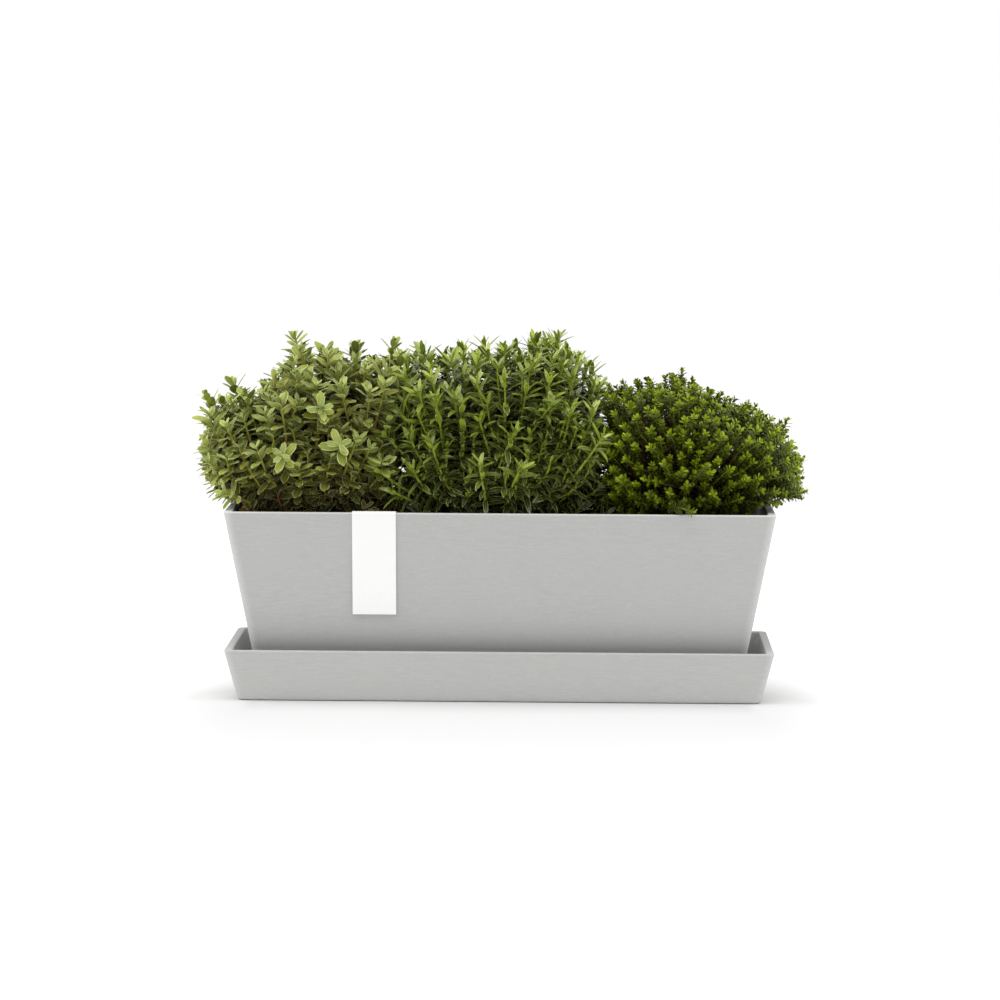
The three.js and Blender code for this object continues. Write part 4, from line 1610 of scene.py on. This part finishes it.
def leafy_shoot_tree():
    """Stems along loose edges, with crossed pairs of leaves from each tip down."""
    tree, given, result = new_geometry_tree(
        "leafy_shoots",
        (
            ("Leaf", "Object"),
            ("Pair Spacing", "Float"),
            ("Stem Step", "Float"),
            ("Stem Sides", "Int"),
            ("Longest Run", "Float"),
            ("Gathering", "Float"),
            ("Closing Run", "Float"),
            ("Low Angle", "Float"),
            ("Tip Angle", "Float"),
            ("Tip Size", "Float"),
            ("Kept Share", "Float"),
            ("Inside X", "Float"),
            ("Inside Y", "Float"),
            ("Clear Height", "Float"),
            ("Leaf Material", "Material"),
            ("Stem Material", "Material"),
        ),
    )
    paths = add_node(tree, "GeometryNodeMeshToCurve", {"Mesh": given["Geometry"]}).outputs[0]
    along = add_node(tree, "GeometryNodeSplineParameter").outputs
    total = add_node(tree, "GeometryNodeSplineLength").outputs["Length"]
    to_tip = add_node(
        tree, "ShaderNodeMath", {0: total, 1: along["Length"]}, operation="SUBTRACT"
    ).outputs[0]
    own = {}
    for name in (STEM_RADIUS, LEAF_RUN, TIP_RISE, VIGOUR_AND_SHADE):
        own[name] = add_node(
            tree, "GeometryNodeInputNamedAttribute", {"Name": name}, data_type="FLOAT"
        ).outputs["Attribute"]
    youth = add_node(
        tree,
        "ShaderNodeMapRange",
        {"Value": to_tip, "From Max": given["Longest Run"], "To Min": 1.0, "To Max": 0.0},
    ).outputs[0]
    # Leaves and stems darken with age and with low vigour, which carries the painted shade.
    age_and_shade = add_node(tree, "ShaderNodeMath", {0: youth, 1: own[VIGOUR_AND_SHADE]}, operation="MULTIPLY").outputs[0]
    tone = add_node(tree, "FunctionNodeRandomValue", {"Seed": TONE_SEED}, data_type="FLOAT").outputs[1]

    # Pairs of leaves move up their shoot, closer together towards its tip.
    part = add_node(tree, "ShaderNodeMath", {0: to_tip, 1: own[LEAF_RUN]}, operation="DIVIDE").outputs[0]
    drawn = add_node(tree, "ShaderNodeMath", {0: part, 1: given["Gathering"]}, operation="POWER").outputs[0]
    moved = add_node(tree, "ShaderNodeMath", {0: drawn, 1: own[LEAF_RUN]}, operation="MULTIPLY").outputs[0]
    reached = add_node(tree, "ShaderNodeMath", {0: total, 1: moved}, operation="SUBTRACT").outputs[0]
    path_index = add_node(tree, "GeometryNodeCurveOfPoint").outputs["Curve Index"]
    gathered = add_node(
        tree,
        "GeometryNodeSampleCurve",
        {"Curves": paths, "Length": reached, "Curve Index": path_index},
        mode="LENGTH",
    ).outputs["Position"]

    # The paths in steps, once for stems and once for leaves, with age, painted shade and tone on their
    # points.
    stepped = {}
    for step in ("Stem Step", "Pair Spacing"):
        curve = add_node(
            tree, "GeometryNodeResampleCurve", {"Curve": paths, "Length": given[step]}, mode="LENGTH"
        ).outputs[0]
        if step == "Pair Spacing":
            curve = add_node(
                tree, "GeometryNodeSetPosition", {"Geometry": curve, "Position": gathered}
            ).outputs[0]
        for name, value in ((LEAF_AGE_AND_SHADE, age_and_shade), (LEAF_TONE, tone)):
            curve = add_node(
                tree,
                "GeometryNodeStoreNamedAttribute",
                {"Geometry": curve, "Name": name, "Value": value},
                data_type="FLOAT",
                domain="POINT",
            ).outputs[0]
        stepped[step] = curve

    # Stems
    section = add_node(
        tree, "GeometryNodeCurvePrimitiveCircle", {"Resolution": given["Stem Sides"], "Radius": 1.0}
    ).outputs["Curve"]
    tubes = add_node(
        tree,
        "GeometryNodeCurveToMesh",
        {
            "Curve": stepped["Stem Step"],
            "Profile Curve": section,
            "Scale": own[STEM_RADIUS],
            "Fill Caps": True,
        },
    ).outputs[0]
    stems = add_node(
        tree, "GeometryNodeSetMaterial", {"Geometry": tubes, "Material": given["Stem Material"]}
    ).outputs[0]

    # Leaves stand where the shoot is leafy, and only well inside the pot's opening or clear above its rim.
    position = add_node(tree, "GeometryNodeInputPosition").outputs[0]
    x, y, z = add_node(tree, "ShaderNodeSeparateXYZ", {"Vector": position}).outputs
    room = []
    for place, limit in ((x, "Inside X"), (y, "Inside Y")):
        distance = add_node(tree, "ShaderNodeMath", {0: place}, operation="ABSOLUTE").outputs[0]
        room.append(
            add_node(tree, "ShaderNodeMath", {0: given[limit], 1: distance}, operation="SUBTRACT").outputs[0]
        )
    inside = add_node(tree, "ShaderNodeMath", {0: room[0], 1: room[1]}, operation="MINIMUM").outputs[0]
    above = add_node(
        tree, "ShaderNodeMath", {0: z, 1: given["Clear Height"]}, operation="SUBTRACT"
    ).outputs[0]
    clear = add_node(tree, "ShaderNodeMath", {0: inside, 1: above}, operation="MAXIMUM").outputs[0]
    left_over = add_node(
        tree, "ShaderNodeMath", {0: own[LEAF_RUN], 1: to_tip}, operation="SUBTRACT"
    ).outputs[0]
    least = add_node(tree, "ShaderNodeMath", {0: left_over, 1: clear}, operation="MINIMUM").outputs[0]
    is_leafy = add_node(
        tree, "FunctionNodeCompare", {0: least, 1: 0.0}, data_type="FLOAT", operation="GREATER_THAN"
    ).outputs[0]

    # Each leaf turns with its pair, rises towards the tip and is smaller there.
    stem_frame = add_node(
        tree,
        "FunctionNodeAxesToRotation",
        {
            "Primary Axis": add_node(tree, "GeometryNodeInputTangent").outputs[0],
            "Secondary Axis": add_node(tree, "GeometryNodeInputNormal").outputs[0],
        },
        primary_axis="Z",
        secondary_axis="X",
    ).outputs[0]
    crossed = add_node(
        tree, "ShaderNodeMath", {0: along["Index"], 1: math.pi / 2}, operation="MULTIPLY"
    ).outputs[0]
    closing = add_node(
        tree,
        "ShaderNodeMapRange",
        {"Value": to_tip, "From Max": given["Closing Run"], "To Min": 1.0, "To Max": 0.0},
        interpolation_type="SMOOTHSTEP",
    ).outputs[0]
    closed = add_node(
        tree, "ShaderNodeMath", {0: closing, 1: own[TIP_RISE]}, operation="MULTIPLY"
    ).outputs[0]
    rise = add_node(
        tree,
        "ShaderNodeMapRange",
        {"Value": closed, "To Min": given["Low Angle"], "To Max": given["Tip Angle"]},
    ).outputs[0]
    bud = add_node(
        tree, "ShaderNodeMath", {0: given["Closing Run"], 1: BUD_SHARE}, operation="MULTIPLY"
    ).outputs[0]
    young = add_node(
        tree,
        "ShaderNodeMapRange",
        {"Value": to_tip, "From Max": bud, "To Min": given["Tip Size"], "To Max": 1.0},
    ).outputs[0]
    arching = add_node(
        tree, "ShaderNodeMapRange", {"Value": closing, "To Min": 1.0, "To Max": YOUNG_ARCH}
    ).outputs[0]
    leaf = add_node(tree, "GeometryNodeObjectInfo", {"Object": given["Leaf"]}).outputs["Geometry"]
    pairs = add_node(tree, "GeometryNodeJoinGeometry")
    for number, half_turn in enumerate((0.0, math.pi)):
        chance = []
        for seed, low, high in (
            (TURN_SEED, half_turn - STRAY_TURN, half_turn + STRAY_TURN),
            (RISE_SEED, -STRAY_RISE, STRAY_RISE),
            (SIZE_SEED, *LEAF_SIZES),
        ):
            drawn_value = add_node(
                tree,
                "FunctionNodeRandomValue",
                {2: low, 3: high, "Seed": seed + number},
                data_type="FLOAT",
            )
            chance.append(drawn_value.outputs[1])
        turn = add_node(tree, "ShaderNodeMath", {0: crossed, 1: chance[0]}, operation="ADD").outputs[0]
        lift = add_node(tree, "ShaderNodeMath", {0: chance[1], 1: rise}, operation="SUBTRACT").outputs[0]
        rotation = stem_frame
        for axis, amount in (("Z", turn), ("Y", lift)):
            euler = add_node(tree, "ShaderNodeCombineXYZ", {axis: amount}).outputs[0]
            step = add_node(tree, "FunctionNodeEulerToRotation", {"Euler": euler}).outputs[0]
            rotation = add_node(
                tree,
                "FunctionNodeRotateRotation",
                {"Rotation": rotation, "Rotate By": step},
                rotation_space="LOCAL",
            ).outputs[0]
        stays = add_node(
            tree,
            "FunctionNodeRandomValue",
            {"Probability": given["Kept Share"], "Seed": KEPT_SEED + number},
            data_type="BOOLEAN",
        ).outputs[3]
        is_shown = add_node(
            tree, "FunctionNodeBooleanMath", {0: is_leafy, 1: stays}, operation="AND"
        ).outputs[0]
        size = add_node(tree, "ShaderNodeMath", {0: young, 1: chance[2]}, operation="MULTIPLY").outputs[0]
        arched = add_node(tree, "ShaderNodeMath", {0: size, 1: arching}, operation="MULTIPLY").outputs[0]
        scale = add_node(tree, "ShaderNodeCombineXYZ", {"X": size, "Y": size, "Z": arched}).outputs[0]
        placed = add_node(
            tree,
            "GeometryNodeInstanceOnPoints",
            {
                "Points": stepped["Pair Spacing"],
                "Selection": is_shown,
                "Instance": leaf,
                "Rotation": rotation,
                "Scale": scale,
            },
        ).outputs[0]
        tree.links.new(placed, pairs.inputs[0])
    real = add_node(tree, "GeometryNodeRealizeInstances", {"Geometry": pairs.outputs[0]}).outputs[0]
    leaves = add_node(
        tree, "GeometryNodeSetMaterial", {"Geometry": real, "Material": given["Leaf Material"]}
    ).outputs[0]
    whole = add_node(tree, "GeometryNodeJoinGeometry")
    for part in (leaves, stems):
        tree.links.new(part, whole.inputs[0])
    tree.links.new(whole.outputs[0], result["Geometry"])
    return tree


class PLANTER_OT_shrub(bpy.types.Operator):
    """Grows one shrub in bands from front to back: stems along its shoots, with leaves in crossed pairs"""

    bl_idname = "planter.shrub"
    bl_label = "Shrub"

    side: EnumProperty(name="Side", description="Which shrub", items=[(side, side, "") for side in SIDES])

    def execute(self, context):
        side = self.side
        shrub = getattr(context.scene.planter, side)
        tub_settings = context.scene.planter.tub
        plan = GROWTH[side]
        finish = FINISH[side]
        shoots = shoots_of(side, plan)
        leaf = leaf_blade(f"{side}_leaf", shrub.leaf_length, shrub.leaf_width, plan["blade"])
        reach = LEAF_REACH * shrub.leaf_length
        values = {
            "Leaf": leaf,
            "Pair Spacing": shrub.pair_spacing,
            "Stem Step": STEM_STEP,
            "Stem Sides": finish["stem_sides"],
            "Longest Run": max(shoot[1] for shoot in shoots),
            "Gathering": finish["gathering"],
            "Closing Run": finish["closing_run"] * MM,
            "Low Angle": shrub.low_angle,
            "Tip Angle": shrub.tip_angle,
            "Tip Size": shrub.tip_size,
            "Kept Share": finish["kept"],
            "Inside X": tub_settings.pot_length / 2 - tub_settings.pot_wall - reach,
            "Inside Y": tub_settings.pot_width / 2 - tub_settings.pot_wall - reach,
            "Clear Height": RIM_Z + RIM_REACH * reach,
            "Leaf Material": shrub_leaf(f"{side}_shrub_leaf", shrub, finish),
            "Stem Material": shrub_stem(f"{side}_shrub_stem", shrub),
        }
        tree = bpy.data.node_groups.get("leafy_shoots") or leafy_shoot_tree()
        for band, low, high in BANDS:
            grown = [shoot for shoot in shoots if low * MM <= shoot[0][-1].y < high * MM]
            attributes = {
                STEM_RADIUS: lambda n, t: shrub.stem / 2 * (1 - STEM_TAPER * t),
                LEAF_RUN: lambda n, t: grown[n][1],
                TIP_RISE: lambda n, t: grown[n][2],
                VIGOUR_AND_SHADE: lambda n, t: grown[n][3],
            }
            holder = wire(f"{side}_{band}_shoots", [shoot[0] for shoot in grown], attributes)
            grown_by(holder, tree, values)
            piece = finished(holder, f"{side}_shrub_{band}")
            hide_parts(f"{side}_shrub")
            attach(piece, f"{side}_plant")
        bpy.data.objects.remove(leaf)
        return {"FINISHED"}


# The stage

# How far the floor reaches, in metres, and how far it lies below the saucer.
FLOOR_REACH = 8.0
FLOOR_GAP = 0.2 * MM
# The painted shade on the floor, a darker colour painted as a soft shadow, lies along the saucer's front
# edge, from a little inside its ends, and fades out past its ends, to the front and to the back. The steps
# are shares of that fade, each with how much paler the floor is there than close to the saucer.
FLOOR_SHADE_INSET = 20 * MM
FLOOR_SHADE_ENDS = 90 * MM
FLOOR_SHADE_FRONT = 400 * MM
FLOOR_SHADE_BACK = 110 * MM
FLOOR_SHADE_STEPS = ((0.0, 1.0), (0.1, 1.17), (0.5, 1.29))
# The lamps in metres: the one overhead, and the panel on the right with its size and the height that it
# aims at. The panel on the left mirrors it.
OVERHEAD_LAMP = (-0.12, -0.65, 1.9)
SIDE_PANEL = (1.2, -0.1, 0.62)
SIDE_PANEL_SIZE = 0.9
SIDE_PANEL_AIM = 0.155
WHITE = (1.0, 1.0, 1.0, 1.0)


def is_seen(tree):
    """1 for the rays that show a surface to the camera: straight, in a gloss or through glass."""
    rays = add_node(tree, "ShaderNodeLightPath").outputs
    seen = rays["Is Camera Ray"]
    for name in ("Is Glossy Ray", "Is Transmission Ray"):
        seen = add_node(tree, "ShaderNodeMath", {0: seen, 1: rays[name]}, operation="MAXIMUM").outputs[0]
    return seen


def studio_floor(settings):
    """A matte sweep of pale paper, which keeps the object's shadow and is seen a little darker near it."""
    material, tree, shader, place = new_material("matte_paper_sweep")
    x, y, _ = add_node(tree, "ShaderNodeSeparateXYZ", {"Vector": place}).outputs
    aside = add_node(tree, "ShaderNodeMath", {0: x}, operation="ABSOLUTE").outputs[0]
    end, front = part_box("saucer")[1].x - FLOOR_SHADE_INSET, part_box("saucer")[0].y
    fades = {}
    for number, (at, start, run) in enumerate(
        ((aside, end, FLOOR_SHADE_ENDS), (y, front, -FLOOR_SHADE_FRONT), (y, front, FLOOR_SHADE_BACK))
    ):
        fades[number] = add_node(
            tree, "ShaderNodeMapRange", {"Value": at, "From Min": start, "From Max": start + run}
        ).outputs[0]
    way = add_node(tree, "ShaderNodeCombineXYZ", fades).outputs[0]
    gap = add_node(tree, "ShaderNodeVectorMath", {0: way}, operation="LENGTH").outputs["Value"]
    stops = [(part, shaded(settings.painted_floor_shade, factor)) for part, factor in FLOOR_SHADE_STEPS]
    stops.append((1.0, tuple(settings.floor)))
    shade = add_node(tree, "ShaderNodeValToRGB", {"Fac": gap}, stops=stops).outputs[0]
    # Camera, gloss and glass rays see the painted shade; light bounces off the plain floor.
    tint = add_node(
        tree, "ShaderNodeMix", {0: is_seen(tree), 6: tuple(settings.floor), 7: shade}, data_type="RGBA"
    ).outputs[2]
    tree.links.new(tint, shader.inputs["Base Color"])
    shader.inputs["Roughness"].default_value = 1.0
    shader.inputs["Specular IOR Level"].default_value = 0.0
    return material


def aim(lamp, target):
    """Turns a lamp to shine from its place to a target."""
    lamp.rotation_euler = (Vector(target) - lamp.location).to_track_quat("-Z", "Y").to_euler()


class PLANTER_OT_stage(bpy.types.Operator):
    """Sets up the floor, the light and the camera"""

    bl_idname = "planter.stage"
    bl_label = "Stage"

    def execute(self, context):
        scene = context.scene
        settings = scene.planter.stage
        scene.view_settings.view_transform = "Standard"

        camera = bpy.data.objects.new("camera", bpy.data.cameras.new("camera"))
        scene.collection.objects.link(camera)
        camera.matrix_world = (
            Matrix.Translation((settings.camera_x, settings.camera_y, settings.camera_z))
            @ Matrix.Rotation(settings.yaw, 4, "Z")
            @ Matrix.Rotation(math.pi / 2 - settings.pitch, 4, "X")
            @ Matrix.Rotation(settings.roll, 4, "Z")
        )
        camera.data.lens = settings.lens
        scene.camera = camera

        made = bmesh.new()
        bmesh.ops.create_grid(made, x_segments=1, y_segments=1, size=FLOOR_REACH)
        floor = show("floor", as_mesh(made, "floor"))
        floor.location.z = CAD_BOX[0].z - FLOOR_GAP
        floor.data.materials.append(studio_floor(settings))

        key = bpy.data.objects.new("overhead_lamp", bpy.data.lights.new("overhead_lamp", "SUN"))
        key.data.energy = settings.key
        key.data.angle = settings.key_spread
        key.location = OVERHEAD_LAMP
        aim(key, (0, 0, 0))
        scene.collection.objects.link(key)
        for name, side in (("left_panel", -1), ("right_panel", 1)):
            panel = bpy.data.objects.new(name, bpy.data.lights.new(name, "AREA"))
            panel.data.size = SIDE_PANEL_SIZE
            panel.data.energy = settings.panel_power
            panel.location = (side * SIDE_PANEL[0], SIDE_PANEL[1], SIDE_PANEL[2])
            aim(panel, (0, 0, SIDE_PANEL_AIM))
            scene.collection.objects.link(panel)

        world = bpy.data.worlds.new("studio")
        world.use_nodes = True
        tree = world.node_tree
        tree.nodes.clear()
        even = add_node(tree, "ShaderNodeBackground", {"Color": WHITE, "Strength": settings.fill}).outputs[0]
        plain = add_node(tree, "ShaderNodeBackground", {"Color": WHITE, "Strength": 1.0}).outputs[0]
        mixed = add_node(tree, "ShaderNodeMixShader", {0: is_seen(tree), 1: even, 2: plain}).outputs[0]
        add_node(tree, "ShaderNodeOutputWorld", {"Surface": mixed})
        scene.world = world
        return {"FINISHED"}


# The add-on

OPERATORS = (
    PLANTER_OT_stage,
    PLANTER_OT_saucer,
    PLANTER_OT_pot,
    PLANTER_OT_label,
    PLANTER_OT_soil,
    PLANTER_OT_root_balls,
    PLANTER_OT_shrub,
)


class PLANTER_PT_panel(bpy.types.Panel):
    """Lists the planter's pieces"""

    bl_label = "Planter"
    bl_idname = "PLANTER_PT_panel"
    bl_space_type = "VIEW_3D"
    bl_region_type = "UI"
    bl_category = "Planter"

    def draw(self, context):
        for operator in OPERATORS:
            self.layout.operator(operator.bl_idname)


CLASSES = (
    TubSettings,
    LabelSettings,
    SoilSettings,
    LeftShrubSettings,
    MiddleShrubSettings,
    RightShrubSettings,
    StageSettings,
    PlanterSettings,
    *OPERATORS,
    PLANTER_PT_panel,
)


def register():
    """Registers the planter's settings, operators and panel."""
    for cls in CLASSES:
        bpy.utils.register_class(cls)
    bpy.types.Scene.planter = PointerProperty(type=PlanterSettings)


def unregister():
    """Takes them out again."""
    del bpy.types.Scene.planter
    for cls in reversed(CLASSES):
        bpy.utils.unregister_class(cls)


def main():
    """Builds every piece in order and writes down both boxes."""
    register()
    bpy.ops.planter.stage()
    bpy.ops.planter.saucer()
    bpy.ops.planter.pot()
    bpy.ops.planter.label()
    bpy.ops.planter.soil()
    bpy.ops.planter.root_balls()
    for side in SIDES:
        bpy.ops.planter.shrub(side=side)


if __name__ == "__main__":
    main()
